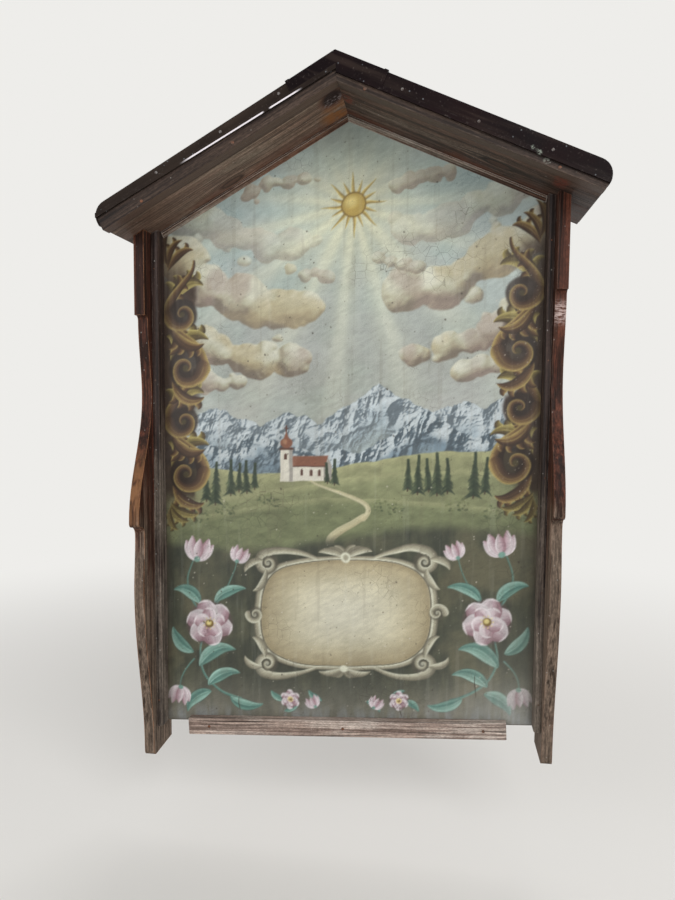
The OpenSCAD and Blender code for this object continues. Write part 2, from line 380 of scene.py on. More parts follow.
class Wood:
    """Wood whose grain runs at an angle in the X-Z plane, colours in sRGB and sizes in millimetres."""

    def __init__(self, name, fresh, dark, grey, greying, angle, seed, cracks=0.5, wear=0.45,
                 worn=(120, 106, 96), knot=None, knot_size=6.0, depth=0.35, specular=0.16,
                 dust=0.4, fine=1.0):
        self.material, self.shader, self.place = new_material(name, 0.6, specular)
        self.depth = depth * MM
        tree = self.place.tree
        self.x, self.y, self.z = split(self.place)
        self.normal = Signal(add(tree, "NewGeometry"), "Normal")
        shift = Vector((seed * 1.7, seed * 0.31, seed * 0.53))
        turned = Signal(add(tree, "Mapping", {"Vector": self.place, "Rotation": (0.0, angle, 0.0),
                                              "Location": shift, "Scale": (fine, fine, fine)}))
        if knot:
            knot = Matrix.Rotation(angle, 3, "Y") @ (Vector(knot) * MM * fine) + shift
        along = vector("DOT_PRODUCT", self.normal, (math.cos(angle), 0, math.sin(angle)), "Value")
        wood = add(tree, "Group", {
            "Place": turned, "Fresh": linear(fresh), "Dark": linear(dark), "Grey": linear(grey),
            "Greying": greying(self) if callable(greying) else greying, "Cracks": cracks,
            "Knot": knot or NO_KNOT, "Knot Size": knot_size * MM,
            "End": fade(abs(along), 0.75, 0.92)}, node_tree=wood_group)
        edge = add(tree, "Group", {"Place": turned, "Wear": wear}, node_tree=edge_group)
        self.colour = coat(Signal(wood, "Color"), Signal(edge, "Mask"), 0.7, worn)
        self.height = Signal(wood, "Height")
        put(self.shader, "Roughness", Signal(wood, "Roughness"))
        specks = add(tree, "Group", {"Place": self.place, "Scale": 135.0, "Speck": 0.12,
                                     "Patches": 1.0}, node_tree=dust_group)
        self.stain(Signal(specks, "Mask"), dust, (176, 172, 166))

    def patches(self, stretch, low, high, detail=3.0, roughness=0.55):
        """A mask of noise on the Object coordinates."""
        return fade(noise(self.place, stretch, detail, roughness), low, high)

    def spot(self, centre, radii, soft=0.5):
        return spot(self.place, centre, radii, soft)

    def looking(self, way):
        """A mask of the faces that look FORWARD or DOWN."""
        return fade(split(self.normal)[way], -0.45, -0.7)

    def stain(self, mask, amount, colour):
        """Lays a colour over the wood where a mask says."""
        self.colour = coat(self.colour, mask, amount, colour)

    def finish(self, name, edge=0.0):
        """Gives the wood to a CAD node, whose sharp edges are rounded by a width."""
        put(self.shader, "Base Color", self.colour)
        bump(self.shader, self.height, 0.9, self.depth)
        finish_node(name, self.material)
        if edge:
            round_edges(name, edge)


def finish_node(node, material):
    """Gives a CAD node its material in every slot."""
    for slot in nodes[node].material_slots:
        slot.material = material


def round_edges(node, width):
    """Small rounds on a CAD node's sharp edges."""
    piece = nodes[node]
    weld = piece.modifiers.new("join corners", "WELD")
    weld.merge_threshold = 0.01 * MM
    edge = piece.modifiers.new("round edges", "BEVEL")
    edge.width = width * MM
    edge.segments = 2
    edge.limit_method = "ANGLE"
    edge.angle_limit = math.radians(35)
    edge.harden_normals = False


# The tablet's painting, worked out on a grid of points: X across and V up from the tablet's foot

STEP = 2 * sight_half / 478
xs = np.linspace(-sight_half, sight_half, 479)
vs = np.arange(0, apex_z - foot_z + STEP, STEP)
X, V = np.meshgrid(xs, vs)
picture = np.zeros((len(vs), len(xs), 3))

# Half the width of the painting that is in sight, and the cells along one tile of noise
EDGE = 201
LATTICE = 64


def tone(*colour):
    return np.array(colour) / 255


def smooth(value, low, high):
    """Rises smoothly from 0 at low to 1 at high."""
    t = np.clip((value - low) / (high - low), 0, 1)
    return t * t * (3 - 2 * t)


def mix(a, b, share):
    """Colours between a and b, by one share for each point."""
    return a + (b - a) * np.asarray(share)[..., None]


def ramp(tones, at):
    """Colours from a row of tones, at values from 0 to 1."""
    tones = np.atleast_2d(np.array(tones, float))
    place = np.clip(at, 0, 1) * (len(tones) - 1)
    low = np.minimum(place.astype(int), max(len(tones) - 2, 0))
    return mix(tones[low], tones[np.minimum(low + 1, len(tones) - 1)], place - low)


def cloudy(x, v, cell, seed, octaves=4):
    """Soft noise from 0 to 1 with a cell in millimetres."""
    total, weight, share = np.zeros(np.shape(x)), 0.0, 1.0
    for k in range(octaves):
        lattice = np.random.default_rng(seed + 101 * k).random((LATTICE, LATTICE))
        px, pv = x / cell + 31.7 + 5 * k, v / cell + 17.3 + 3 * k
        ix, iv = np.floor(px).astype(int), np.floor(pv).astype(int)
        fx, fv = smooth(px - ix, 0, 1), smooth(pv - iv, 0, 1)
        low, high = (lattice[row % LATTICE, ix % LATTICE] * (1 - fx)
                     + lattice[row % LATTICE, (ix + 1) % LATTICE] * fx for row in (iv, iv + 1))
        total += share * (low * (1 - fv) + high * fv)
        weight += share
        share *= 0.55
        cell /= 2.03
    return total / weight


def ridged(x, v, cell, seed, octaves):
    """Noise with sharp ridges."""
    total, share = np.zeros(np.shape(x)), 1.0
    for k in range(octaves):
        total += share * (1 - np.abs(2 * cloudy(x, v, cell, seed + 17 * k, 1) - 1))
        share *= 0.5
        cell /= 2.1
    return total / 1.9


def lit(height, way, depth):
    """Light from 0 to 1 on a relief of a height in millimetres."""
    slope_v, slope_x = np.gradient(height * depth, STEP)
    way = np.array(way) / np.linalg.norm(way)
    facing = (way[2] - slope_x * way[0] - slope_v * way[1]) / np.sqrt(slope_x ** 2 + slope_v ** 2 + 1)
    return np.clip(facing, 0, 1)


def blur(values, reach):
    """Evens values out over a reach in millimetres."""
    n = max(int(reach / STEP), 1)
    for axis in (0, 0, 1, 1):
        values = np.swapaxes(values, 0, axis)
        total = np.cumsum(np.pad(values, [(n + 1, n), (0, 0)], mode="edge"), 0)
        values = np.swapaxes((total[2 * n + 1:] - total[:-2 * n - 1]) / (2 * n + 1), 0, axis)
    return values


def window(x0, x1, v0, v1):
    """The part of the grid inside a rectangle."""
    i0, i1 = max(int((x0 + sight_half) / STEP), 0), min(int((x1 + sight_half) / STEP) + 2, len(xs))
    j0, j1 = max(int(v0 / STEP), 0), min(int(v1 / STEP) + 2, len(vs))
    return slice(j0, max(j1, j0)), slice(i0, max(i1, i0))


def lay(mask, colour, where=...):
    """Lays one colour, or a colour for each point, over the picture."""
    picture[where] = mix(picture[where], np.asarray(colour), np.clip(mask, 0, 1))


# Paths and strokes

def towards(angle):
    return np.array([math.cos(angle), math.sin(angle)])


def curve(p0, p1, p2, p3, n=26):
    """Points on a curve from p0 to p3, pulled by p1 and p2."""
    t = np.linspace(0, 1, n)[:, None]
    p0, p1, p2, p3 = (np.array(p, float) for p in (p0, p1, p2, p3))
    return (1 - t) ** 3 * p0 + 3 * (1 - t) ** 2 * t * p1 + 3 * (1 - t) * t * t * p2 + t ** 3 * p3


def bowed(base, tip, bend, far):
    """A curve from base to tip that bulges to one side, up to a far share of its length."""
    base, run = np.array(base, float), np.subtract(tip, base)
    across = np.array([-run[1], run[0]]) * bend
    return curve(base, base + run * 0.35 + across, base + run * far + across, base + run)


def spiral(centre, r0, r1, start, turns):
    """Points on a spiral, start in degrees, turns positive anticlockwise."""
    t = np.linspace(0, 1, 60)
    a = np.radians(start) + turns * 2 * math.pi * t
    r = r0 + (r1 - r0) * t ** 0.85
    return np.stack([centre[0] + r * np.cos(a), centre[1] + r * np.sin(a)], 1)


def swell(u):
    """Width of a leaf-like stroke from tip to tip."""
    return np.sin(math.pi * np.clip(u, 0, 1)) ** 0.8


def taper(u):
    return (1 - u) ** 0.7


def even(start, end):
    """Width that goes evenly from start to end."""
    return lambda u: start + (end - start) * u


def brush(path, width, tones, profile=swell, soft=0.9, cover=1.0, streak=0.12, seed=1):
    """One brush stroke. The tones run across it from its left edge to its right edge."""
    path = np.asarray(path, float)
    run = np.r_[0, np.cumsum(np.hypot(*np.diff(path, axis=0).T))]
    at = np.linspace(0, run[-1], max(int(run[-1] / 0.8), 3))
    path = np.stack([np.interp(at, run, path[:, k]) for k in (0, 1)], 1)
    low, high = path.min(0) - width - 1, path.max(0) + width + 1
    where = window(low[0], high[0], low[1], high[1])
    px, pv = X[where], V[where]
    if px.size == 0:
        return
    gap = (px[..., None] - path[:, 0]) ** 2 + (pv[..., None] - path[:, 1]) ** 2
    near = gap.argmin(-1)
    run = np.gradient(path, axis=0)
    step = np.linalg.norm(run, axis=1)[:, None] + 1e-9
    run = run / step
    dx, dv = px - path[near, 0], pv - path[near, 1]
    side = dx * run[near, 1] - dv * run[near, 0]
    ahead = dx * run[near, 0] + dv * run[near, 1]
    inside = (near > 0) & (near < len(path) - 1)
    away = np.where(inside, np.abs(side), np.sqrt(gap.min(-1)))
    u = np.clip((near + np.where(inside, ahead / step[near, 0], 0)) / (len(path) - 1), 0, 1)
    reach = np.maximum(width * profile(u), 0.01)
    across = np.clip(side / reach, -1, 1)
    hair = cloudy(across * 9 + 40 * seed, u * 2.5, 1.0, 900 + seed, 2) - 0.5
    colour = ramp(tones, (across + 1) / 2) * (1 + streak * 2 * hair[..., None])
    edge = smooth(reach - away, -soft * 0.5, soft) * smooth(width * profile(u), 0.0, 0.5)
    lay(edge * cover, colour, where)


def disc(centre, rx, rv, colour, soft=1.0, cover=1.0, angle=0.0):
    """A soft oval."""
    reach = max(rx, rv) + soft + 1
    where = window(centre[0] - reach, centre[0] + reach, centre[1] - reach, centre[1] + reach)
    dx, dv = X[where] - centre[0], V[where] - centre[1]
    c, s = towards(math.radians(angle))
    r = np.hypot((dx * c + dv * s) / rx, (dv * c - dx * s) / rv)
    lay(cover * smooth(1 - r, -soft / min(rx, rv) * 0.5, soft / min(rx, rv)), colour, where)


def outline(points, colour, soft=0.7, cover=1.0):
    """A filled outline with straight sides, corners in order round it."""
    points = np.array(points, float)
    low, high = points.min(0) - 2, points.max(0) + 2
    where = window(low[0], high[0], low[1], high[1])
    px, pv = X[where], V[where]
    inside = np.zeros(px.shape, bool)
    nearest = np.full(px.shape, 1e9)
    for a, b in zip(points, np.roll(points, -1, 0)):
        run = b - a
        at = a[0] + (pv - a[1]) / (run[1] + 1e-12) * run[0]
        inside ^= ((a[1] > pv) != (b[1] > pv)) & (px < at)
        t = np.clip(((px - a[0]) * run[0] + (pv - a[1]) * run[1]) / (run @ run + 1e-12), 0, 1)
        nearest = np.minimum(nearest, np.hypot(px - a[0] - t * run[0], pv - a[1] - t * run[1]))
    signed = np.where(inside, nearest, -nearest)
    lay(cover * smooth(signed, -soft * 0.6, soft * 0.6), colour, where)


# Colours of the painting, dark to light. A slice with a step of -1 turns them round

SKY = tone((148, 154, 144), (154, 174, 176))
GLOW = tone(204, 203, 172)
GOLD = tone((112, 90, 46), (168, 144, 76), (214, 198, 132))
CLOUD = tone((112, 102, 90), (144, 136, 116), (172, 170, 148), (196, 196, 180))
MAUVE, OCHRE = tone((140, 122, 114), (166, 150, 112))
FAR, RIDGE, SNOW = tone((132, 146, 154), (100, 116, 126), (188, 196, 198))
HILL = tone((132, 134, 100), (106, 112, 82))
FIR = tone((40, 50, 40), (78, 90, 66))
BUSH = tone((62, 70, 50), (122, 128, 90))
GROUND = tone((54, 57, 48), (76, 78, 62), (104, 98, 76))
SCROLL = tone((46, 34, 27), (72, 53, 39), (102, 79, 53), (168, 150, 92))
OLIVE = tone((56, 46, 32), (84, 72, 46), (116, 104, 62), (176, 164, 102))
STRAP = tone((96, 92, 78), (152, 148, 128), (204, 204, 184))
PARCHMENT = tone((160, 149, 120), (188, 182, 157), (205, 206, 196))
PETAL = tone((138, 104, 112), (184, 164, 170), (216, 210, 212))
MINT = tone((66, 98, 90), (112, 148, 136), (152, 184, 172))


# Sky, mountains and land

def paint_sky():
    base = ramp(SKY, smooth(V, 300, 640))
    picture[:] = base * (0.94 + 0.12 * cloudy(X * 0.6, V, 70, 3)[..., None])
    lay(0.35 * smooth(cloudy(X * 0.5, V, 60, 5), 0.45, 0.7), tone(184, 190, 188))
    lay(0.25 * smooth(cloudy(X * 0.7, V, 90, 6), 0.5, 0.7), tone(150, 140, 140))


def paint_glory(centre):
    """A wide glow with straight and wavy beams."""
    dx, dv = X - centre[0], V - centre[1]
    r, a = np.hypot(dx, dv), np.arctan2(dv, dx)
    beam = 0.5 + 0.5 * np.cos(a * 15 + 0.6 * np.sin(a * 4))
    beam *= 0.7 + 0.3 * cloudy(a * 14, r * 0.02, 1.0, 12, 2)
    down = smooth(dv, 50, -30)
    beams = 0.40 * beam * np.exp(-(r / 160) ** 2) * (0.25 + 0.75 * down)
    lay(0.66 * np.exp(-(r / 60) ** 2) + beams, GLOW)
    beams = smooth(beam, 0.45, 0.95) * np.exp(-((r - 60) / 170) ** 2) * down
    lay(0.40 * beams, tone(208, 211, 192))


def paint_sun(centre):
    """A golden ball with sixteen rays, every other one long and wavy."""
    centre = np.array(centre)
    for k in range(16):
        way = towards(2 * math.pi * k / 16 + 0.05)
        length, wave = (27, 0) if k % 2 else (36, 2.4)
        start, end = centre + way * 11, centre + way * length
        bend = np.array([-way[1], way[0]]) * wave
        brush(curve(start, start + way * 7 + bend, end - way * 7 - bend, end), 2.3, GOLD[::-1], taper,
              cover=0.9, seed=k)
    disc(centre, 13.5, 13.5, GOLD[0], 1.2)
    disc(centre, 12.2, 12.2, GOLD[1], 1.6)
    disc(centre + (-3, 3.5), 7.5, 7.0, GOLD[2], 6, 0.85)


def paint_bank(path, count, size, seed, cover=1.0, dim=1.0):
    """A bank of billowing cloud along a curve, lit from the sun."""
    local = np.random.default_rng(seed)
    wx, wv = (flat + 0.45 * size * (cloudy(X, V, size * 0.8, seed + k, 3) - 0.5)
              for k, flat in enumerate((X, V)))
    total = np.zeros(X.shape)
    for x, v in curve(*path, count):
        for share, spread in ((1.0, 0.3), (0.62, 0.8), (0.46, 1.0), (0.36, 1.15)):
            r = size * share * (0.7 + 0.6 * local.random())
            cx = x + local.normal() * size * spread * 0.6
            cv = v + local.normal() * size * spread * 0.45
            near = window(cx - r - size, cx + r + size, cv - r - size, cv + r + size)
            d = ((wx[near] - cx) ** 2 + (1.2 * (wv[near] - cv)) ** 2) / r ** 2
            total[near] += (r * np.clip(1 - d, 0, 1) ** 0.75) ** 3
    body = blur(total ** (1 / 3), 1.6)
    light = lit(body, (-0.5 * np.sign(path[0][0]), 0.8, 1.15), 0.62)
    light = light * (0.86 + 0.28 * cloudy(X, V, 40, seed + 3, 2))
    hue = cloudy(X, V, 42, seed + 4, 3)
    colour = ramp(CLOUD * dim, light * 1.28 - 0.26)
    colour = mix(colour, MAUVE * dim, 0.5 * smooth(hue, 0.52, 0.72))
    colour = mix(colour, OCHRE * dim, 0.5 * smooth(hue, 0.48, 0.30))
    lay(cover * smooth(body, 0.8, size * 0.30), colour)
    rim = smooth(body, 1.5, 5) * smooth(body, size * 0.55, size * 0.2) * smooth(light, 0.70, 0.92)
    lay(0.35 * cover * rim, CLOUD[3])


def paint_clouds():
    for path, *rest in (
            (((-205, 566), (-160, 560), (-120, 520), (-60, 520)), 8, 20, 301, 0.5, 1.06),
            (((205, 590), (160, 560), (130, 530), (66, 528)), 8, 19, 302, 0.5, 1.06),
            (((-205, 520), (-150, 490), (-130, 455), (-46, 450)), 10, 24, 303, 0.95),
            (((205, 525), (165, 500), (140, 470), (64, 466)), 9, 23, 304, 0.95),
            (((-205, 450), (-170, 420), (-130, 402), (-66, 398)), 9, 19, 305, 1.0, 0.98),
            (((205, 455), (176, 425), (150, 408), (78, 402)), 9, 19, 306, 1.0, 0.98),
            (((-205, 398), (-180, 384), (-150, 380), (-120, 378)), 6, 12, 309, 0.9),
            (((205, 402), (180, 386), (150, 382), (126, 380)), 6, 12, 310, 0.9),
            (((-104, 578), (-84, 588), (-66, 584), (-46, 588)), 5, 9, 307, 0.8),
            (((52, 574), (70, 584), (84, 578), (104, 582)), 5, 9, 308, 0.8),
            (((-60, 494), (-44, 486), (-30, 490), (-22, 484)), 4, 8, 311, 0.7),
            (((34, 500), (46, 494), (58, 496), (70, 488)), 4, 8, 312, 0.7)):
        paint_bank(path, *rest)


def paint_range(peaks, seed, colour, rough, snow):
    """A mountain range: the highest of some peaks at each X, roughened, lit and snowed on."""
    top = np.max([height - slope * np.abs(X - at) for at, height, slope in peaks], 0)
    deep = top + rough * (cloudy(X, X * 0, 16, seed, 4) - 0.5) * 2 - V
    relief = ridged(X + deep * 0.35, V + X * 0.25, 30, seed + 3, 5) * 26
    light = lit(relief, (-0.7, 0.45, 0.62), 0.9)
    mask = smooth(deep, -0.8, 0.8)
    lay(mask, ramp([colour * 0.70, colour * 0.95, colour * 1.15], light))
    patch = smooth(deep + 26 * (cloudy(X, V, 16, seed + 6, 3) - 0.5), snow, snow * 0.35)
    lay(mask * smooth(light, 0.34, 0.62) * patch * 0.92, SNOW * (0.84 + 0.16 * light[..., None]))
    lay(mask * smooth(deep, 24, 74) * 0.6, tone(150, 156, 146))


def paint_hills():
    for level, rise, span, seed, colour in ((286, 9, 60, 31, HILL[0]),
                                            (262, 12, 90, 32, (HILL[0] + HILL[1]) / 2),
                                            (240, 9, 70, 33, HILL[1])):
        top = level + rise * np.sin(X / span + seed) + 5 * (cloudy(X, X * 0, 30, seed, 3) - 0.5)
        body = colour * (0.86 + 0.30 * cloudy(X, V * 2.2, 14, seed + 4, 4)[..., None])
        body = mix(body, tone(176, 174, 132), 0.40 * smooth(top - V, 10, 0))
        lay(smooth(top - V, -0.8, 0.8), body)


def fir(x, foot, height, seed):
    """A fir of short drooping strokes."""
    local = np.random.default_rng(seed)
    lean = local.normal() * 0.03
    rows = max(int(height / 2.0), 5)
    for k in range(rows):
        u = (k + 0.5) / rows
        v = foot + height * (1 - u)
        at = x + lean * height * (1 - u)
        for side in (-1, 1):
            w = (height * 0.21 * u + 0.6) * local.uniform(0.65, 1.15)
            green = FIR[0] + (FIR[1] - FIR[0]) * local.random() * (0.9 if side < 0 else 0.35)
            drop = w * local.uniform(0.35, 0.65)
            bough = curve((at, v + 1.4), (at + side * w * 0.4, v + 0.6),
                          (at + side * w * 0.8, v - w * 0.2), (at + side * w, v - drop), 6)
            brush(bough, 1.7, green, taper, cover=0.92)
    trunk = [(-0.7, -1.5), (0.7, -1.5), (0.5, 2), (-0.5, 2)]
    outline([(x + px, foot + pv) for px, pv in trunk], tone(62, 50, 40))


def bush(x, v, r, seed):
    """A leafy mass of dabs."""
    local = np.random.default_rng(seed)
    for k in range(int(r * 3.2)):
        a = local.random() * 2 * math.pi
        d = r * math.sqrt(local.random())
        px, pv = d * math.cos(a), 0.7 * d * math.sin(a)
        light = np.clip(0.5 + 0.5 * pv / r + 0.3 * local.normal(), 0, 1)
        disc((x + px, v + pv), 1.5, 1.1, BUSH[0] + (BUSH[1] - BUSH[0]) * light, 1.0, 0.85)


def paint_chapel(x, foot, size):
    """A small white chapel with a red-brown roof and an onion-topped tower."""
    wall, shade, roof, dark = tone((206, 202, 188), (150, 146, 138), (124, 82, 64), (84, 58, 50))

    def shape(points, colour, *rest):
        outline([(x + px * size, foot + pv * size) for px, pv in points], colour, *rest)

    def box(x0, x1, v0, v1, colour, *rest):
        shape([(x0, v0), (x1, v0), (x1, v1), (x0, v1)], colour, *rest)

    def opening(x0, v0, v1, tip):
        shape([(x0, v0), (x0 + 0.09, v0), (x0 + 0.09, v1), (x0 + 0.045, tip), (x0, v1)], dark, 0.5)

    box(0.1, 1.15, 0, 0.5, wall)
    shape([(1.15, 0), (1.42, 0.05), (1.42, 0.5), (1.28, 0.78), (1.15, 0.5)], shade)
    shape([(0.0, 0.47), (1.2, 0.47), (1.3, 0.82), (0.15, 0.82)], roof)
    box(0.0, 1.2, 0.45, 0.5, dark, 0.7, 0.7)
    box(-0.28, 0.14, 0, 1.05, wall)
    box(0.02, 0.14, 0, 1.05, shade)
    shape([(-0.33, 1.03), (0.19, 1.03), (0.13, 1.12), (-0.27, 1.12)], dark)
    disc((x - 0.07 * size, foot + 1.26 * size), 0.21 * size, 0.17 * size, roof, 0.8)
    disc((x - 0.12 * size, foot + 1.30 * size), 0.08 * size, 0.09 * size, tone(168, 126, 98), 1.2, 0.8)
    shape([(-0.16, 1.38), (0.02, 1.38), (-0.07, 1.66)], roof)
    box(-0.09, -0.05, 1.62, 1.86, dark, 0.5)
    box(-0.15, 0.01, 1.74, 1.78, dark, 0.5)
    for x0 in (0.38, 0.68, 0.96):
        opening(x0, 0.16, 0.33, 0.39)
    opening(-0.14, 0.7, 0.88, 0.93)


def paint_land():
    paint_chapel(-62, 268, 33)
    brush(curve((-38, 268), (-10, 252), (40, 246), (20, 226)), 3.2,
          tone((172, 164, 132), (196, 190, 160)), even(0.35, 1), cover=0.9)
    brush(curve((20, 228), (0, 214), (-30, 208), (-10, 190)), 5.0,
          tone((168, 158, 126), (190, 184, 152)), even(0.7, 1.1), cover=0.9)
    firs = ((-100, 262, 26), (-109, 258, 33), (-118, 260, 28), (-127, 256, 36), (-20, 266, 20),
            (-12, 264, 26), (66, 256, 30), (76, 252, 38), (88, 254, 32), (97, 250, 42),
            (108, 252, 34), (134, 246, 46), (146, 250, 36), (-144, 246, 44), (-154, 250, 34))
    for k, place in enumerate(firs):
        fir(*place, 50 + 9 * k)
    bushes = ((38, 240, 9), (52, 236, 11), (118, 238, 13), (-88, 250, 9), (-76, 246, 7),
              (-132, 240, 12), (158, 232, 14), (-164, 234, 13))
    for k, place in enumerate(bushes):
        bush(*place, 80 + k)


def paint_ground():
    """The dark lower field, brushed in upright strokes."""
    top = 206 + 10 * np.sin(X / 64.0) + 6 * (cloudy(X, X * 0, 26, 61, 3) - 0.5)
    patch = cloudy(X, V, 60, 63, 4)
    stroke = cloudy(X, V * 0.22, 6, 62, 4) * 0.5 + patch * 0.6
    body = mix(GROUND[0], GROUND[1], smooth(stroke, 0.35, 0.75))
    body = mix(body, GROUND[2], 0.55 * smooth(patch, 0.5, 0.75))
    lay(smooth(top - V, -6, 10), body)
    lay(smooth(V, 70, 6) * (0.45 + 0.4 * cloudy(X, V * 0.3, 9, 64, 3)), tone(132, 128, 116))
    # Pale bluish streaks along the foot: weathering, lightened further by a painted sky reflection.
    worn = smooth(V, 26, 0) * smooth(cloudy(X, V * 0.2, 7, 65, 3), 0.35, 0.7)
    lay(0.5 * worn, tone(150, 158, 168))


# Scrollwork and the bare parchment

def scroll(centre, radius, start, turns, width, tones, seed, eye=0.82):
    """A rolled-up ribbon: a shaded spiral with a light line on it, round an eye."""
    dark, light = np.min(tones, 0), np.max(tones, 0)
    disc(centre, radius * 1.02, radius * 1.02, dark * 0.8, 2.5, 0.8)
    brush(spiral(centre, radius, radius * 0.12, start, turns), width, tones, even(1, 0.2), soft=1.0,
          seed=seed)
    brush(spiral(centre, radius * 1.02, radius * 0.14, start, turns), width * 0.10, light * 0.9,
          even(1, 0.4), soft=0.8, cover=0.35, seed=seed)
    disc(centre, radius * 0.19, radius * 0.19, light * eye, 1.2, 0.8)


def frond(base, tip, bend, width, tones, seed):
    """A curled leaf of the scrollwork."""
    brush(bowed(base, tip, bend, 0.8), width, tones, seed=seed)


def acanthus(base, tip, bend, width, tones, seed, lobes=4):
    """A curled leaf with side lobes along its outer edge."""
    spine = bowed(base, tip, bend, 0.85)
    for k in range(lobes):
        at = spine[4 + int(18 * k / lobes)]
        way = spine[6 + int(18 * k / lobes)] - at
        way = way / (np.linalg.norm(way) + 1e-9)
        out = np.array([-way[1], way[0]]) * math.copysign(1, bend)
        way, out = (line * width * (2.4 - 1.1 * k / lobes) for line in (way, out))
        brush(curve(at, at + way * 0.5 + out * 0.15, at + way * 0.9 + out * 0.55, at + way * 0.55 + out),
              width * 0.62, tones, seed=seed + k)
    brush(spine, width, tones, seed=seed)
    brush(spine[3:-2], width * 0.14, tones[-1], cover=0.55, seed=seed)


def paint_border(side):
    """Brown and olive scrollwork up one side, on a soft brown ground."""
    edge = side * EDGE
    depth = (edge - X) * side

    def at(depth, v):
        return (edge - side * depth, v)

    wave = 30 + 9 * np.sin(V / 17.0 + 1.2 * side) + 22 * (cloudy(V + 300 * side, depth, 15, 70, 3) - 0.5)
    span = smooth(V + 20 * (cloudy(X, V, 14, 71, 3) - 0.5), 240, 262) * smooth(V, 520, 478)
    ground = SCROLL[0] * (0.9 + 0.5 * cloudy(X, V, 9, 72, 3)[..., None])
    lay(0.9 * span * smooth(wave - depth, -3, 7), ground)
    for k in range(4):
        v, odd, up = 280 + 58 * k, k % 2, 1 - 2 * (k % 2)
        brown, olive = SCROLL[::side * up], OLIVE[::side * up]
        acanthus(at(6, v + 8), at(50 - 5 * odd, v + 30), -0.36 * side, 7.4, olive, 75 + 5 * k)
        acanthus(at(8, v - 12), at(45, v - 32), 0.34 * side, 6.4, brown[::-1], 80 + 5 * k)
        acanthus(at(4, v + 14), at(15, v + 44), 0.30 * side, 5.0, brown, 85 + 5 * k, 3)
        size = 20 - 3 * odd
        near, far = (4, 34) if odd else (4 + 2 * size, 8)
        brush(curve(at(far, v + 56), at(far, v + 34), at(near, v + 28), at(near, v - 1)), size * 0.40,
              brown, even(0.25, 1), soft=1.0, seed=95 + k)
        scroll(at(4 + size, v), size, 90 + 90 * up * side, 1.12 * up * side, size * 0.40, brown,
               70 + k, 0.42)
    for u in range(3):
        acanthus(at(5, 502 + 3 * u), at(34 - 12 * u, 522 + 12 * u), -0.26 * side, 4.8 - 0.6 * u,
                 SCROLL[::side], 140 + u, 3)
        acanthus(at(5, 250 - 3 * u), at(38 - 12 * u, 236 - 9 * u), 0.26 * side, 4.8 - 0.6 * u,
                 OLIVE[::-side], 150 + u, 3)


def paint_cartouche(centre, half_w, half_h):
    """A bare parchment oval in rolled strapwork."""
    def at(across, up, dx=0, dv=0):
        return (centre[0] + across * half_w + dx, centre[1] + up * half_h + dv)

    px, pv = (X - centre[0]) / half_w, (V - centre[1]) / half_h
    edge = 1 - (np.abs(px) ** 3.2 + np.abs(pv) ** 3.2) ** (1 / 3.2)
    for low, high, cover, colour in ((-0.18, -0.02, 0.75, GROUND[0] * 0.8), (-0.105, -0.085, 1, STRAP[0]),
                                     (-0.095, -0.06, 1, STRAP[1]), (-0.05, -0.035, 0.8, STRAP[2]),
                                     (-0.022, -0.012, 1, STRAP[0] * 0.85)):
        lay(cover * smooth(edge, low, high), colour)
    sheet = mix(PARCHMENT[0], PARCHMENT[1], smooth(edge, 0.0, 0.5))
    sheet = mix(sheet, PARCHMENT[2], 0.4 * smooth(edge, 0.25, 0.9))
    texture = cloudy(X * 0.5, V * 1.4, 24, 102, 4)[..., None]
    lay(smooth(edge, -0.012, 0.004), sheet * (0.93 + 0.13 * texture))
    lay(0.45 * smooth(edge, 0.0, 0.01) * smooth(edge, 0.10, 0.0), tone(128, 116, 88))
    for sx in (-1, 1):
        for sv in (-1, 1):
            turn = sx * sv
            tones = STRAP[::turn]
            x, v = sx * 0.93, sv * 0.96
            arm = curve(at(sx * 0.35, sv * 1.06), at(sx * 0.62, sv * 1.22), at(sx * 0.86, sv * 1.30),
                        at(x, v, sx * 3, sv * 10))
            brush(arm, 5.2, tones, even(0.35, 1), seed=110)
            scroll(at(x, v), 12.5, 90 * sv, -1.55 * turn, 5.6, tones, 111)
            frond(at(x, v, sx * 5, sv * 3), at(x, v, sx * 26, -sv * 9), 0.3 * turn, 4.2, tones, 112)
            frond(at(x, v, sx * 2, -sv * 6), at(x, v, sx * 18, -sv * 30), -0.24 * turn, 4.4,
                  tones[::-1], 113)
        scroll(at(sx * 1.08, 0), 8.5, 90 - 90 * sx, 1.35, 4.4, STRAP, 114)
    for sx in (-1, 1):
        for k in range(3):
            frond(at(0, 1.04), at(0, 1.04, sx * (12 + 9 * k), 15 - 4 * k), 0.22 * sx, 4.2,
                  STRAP[::sx], 120 + k)
            frond(at(0, -1.04), at(0, -1.04, sx * (11 + 9 * k), 3 * k - 10), -0.22 * sx, 3.8,
                  STRAP[::-sx], 124 + k)
    disc(at(0, 1.06), 5.5, 6.5, STRAP[2], 1.4)
    disc(at(0, 1.06), 3.0, 3.8, STRAP[1], 1.4)
    disc(at(0, -1.06), 4.8, 4.2, STRAP[2], 1.4)


# Flowers

def leaf(base, tip, bend, width, seed):
    """A mint leaf, dark on one side of its rib and light on the other."""
    def blade(u):
        return np.sin(math.pi * u) ** 0.75 * (1.15 - 0.5 * u)

    path = bowed(base, tip, bend, 0.75)
    brush(path, width * 1.12, MINT[0] * 0.8, blade, 1.2, 0.6)
    brush(path, width, [MINT[2], MINT[1], MINT[0] * 1.15, MINT[1]], blade, seed=seed)
    brush(path[2:-3], width * 0.10, MINT[2], taper, 0.8, 0.8, seed=seed)


def petal_width(u):
    return np.sin(math.pi * np.clip(u * 0.72 + 0.2, 0, 1)) ** 0.7 * smooth(1.04 - u, 0, 0.16)


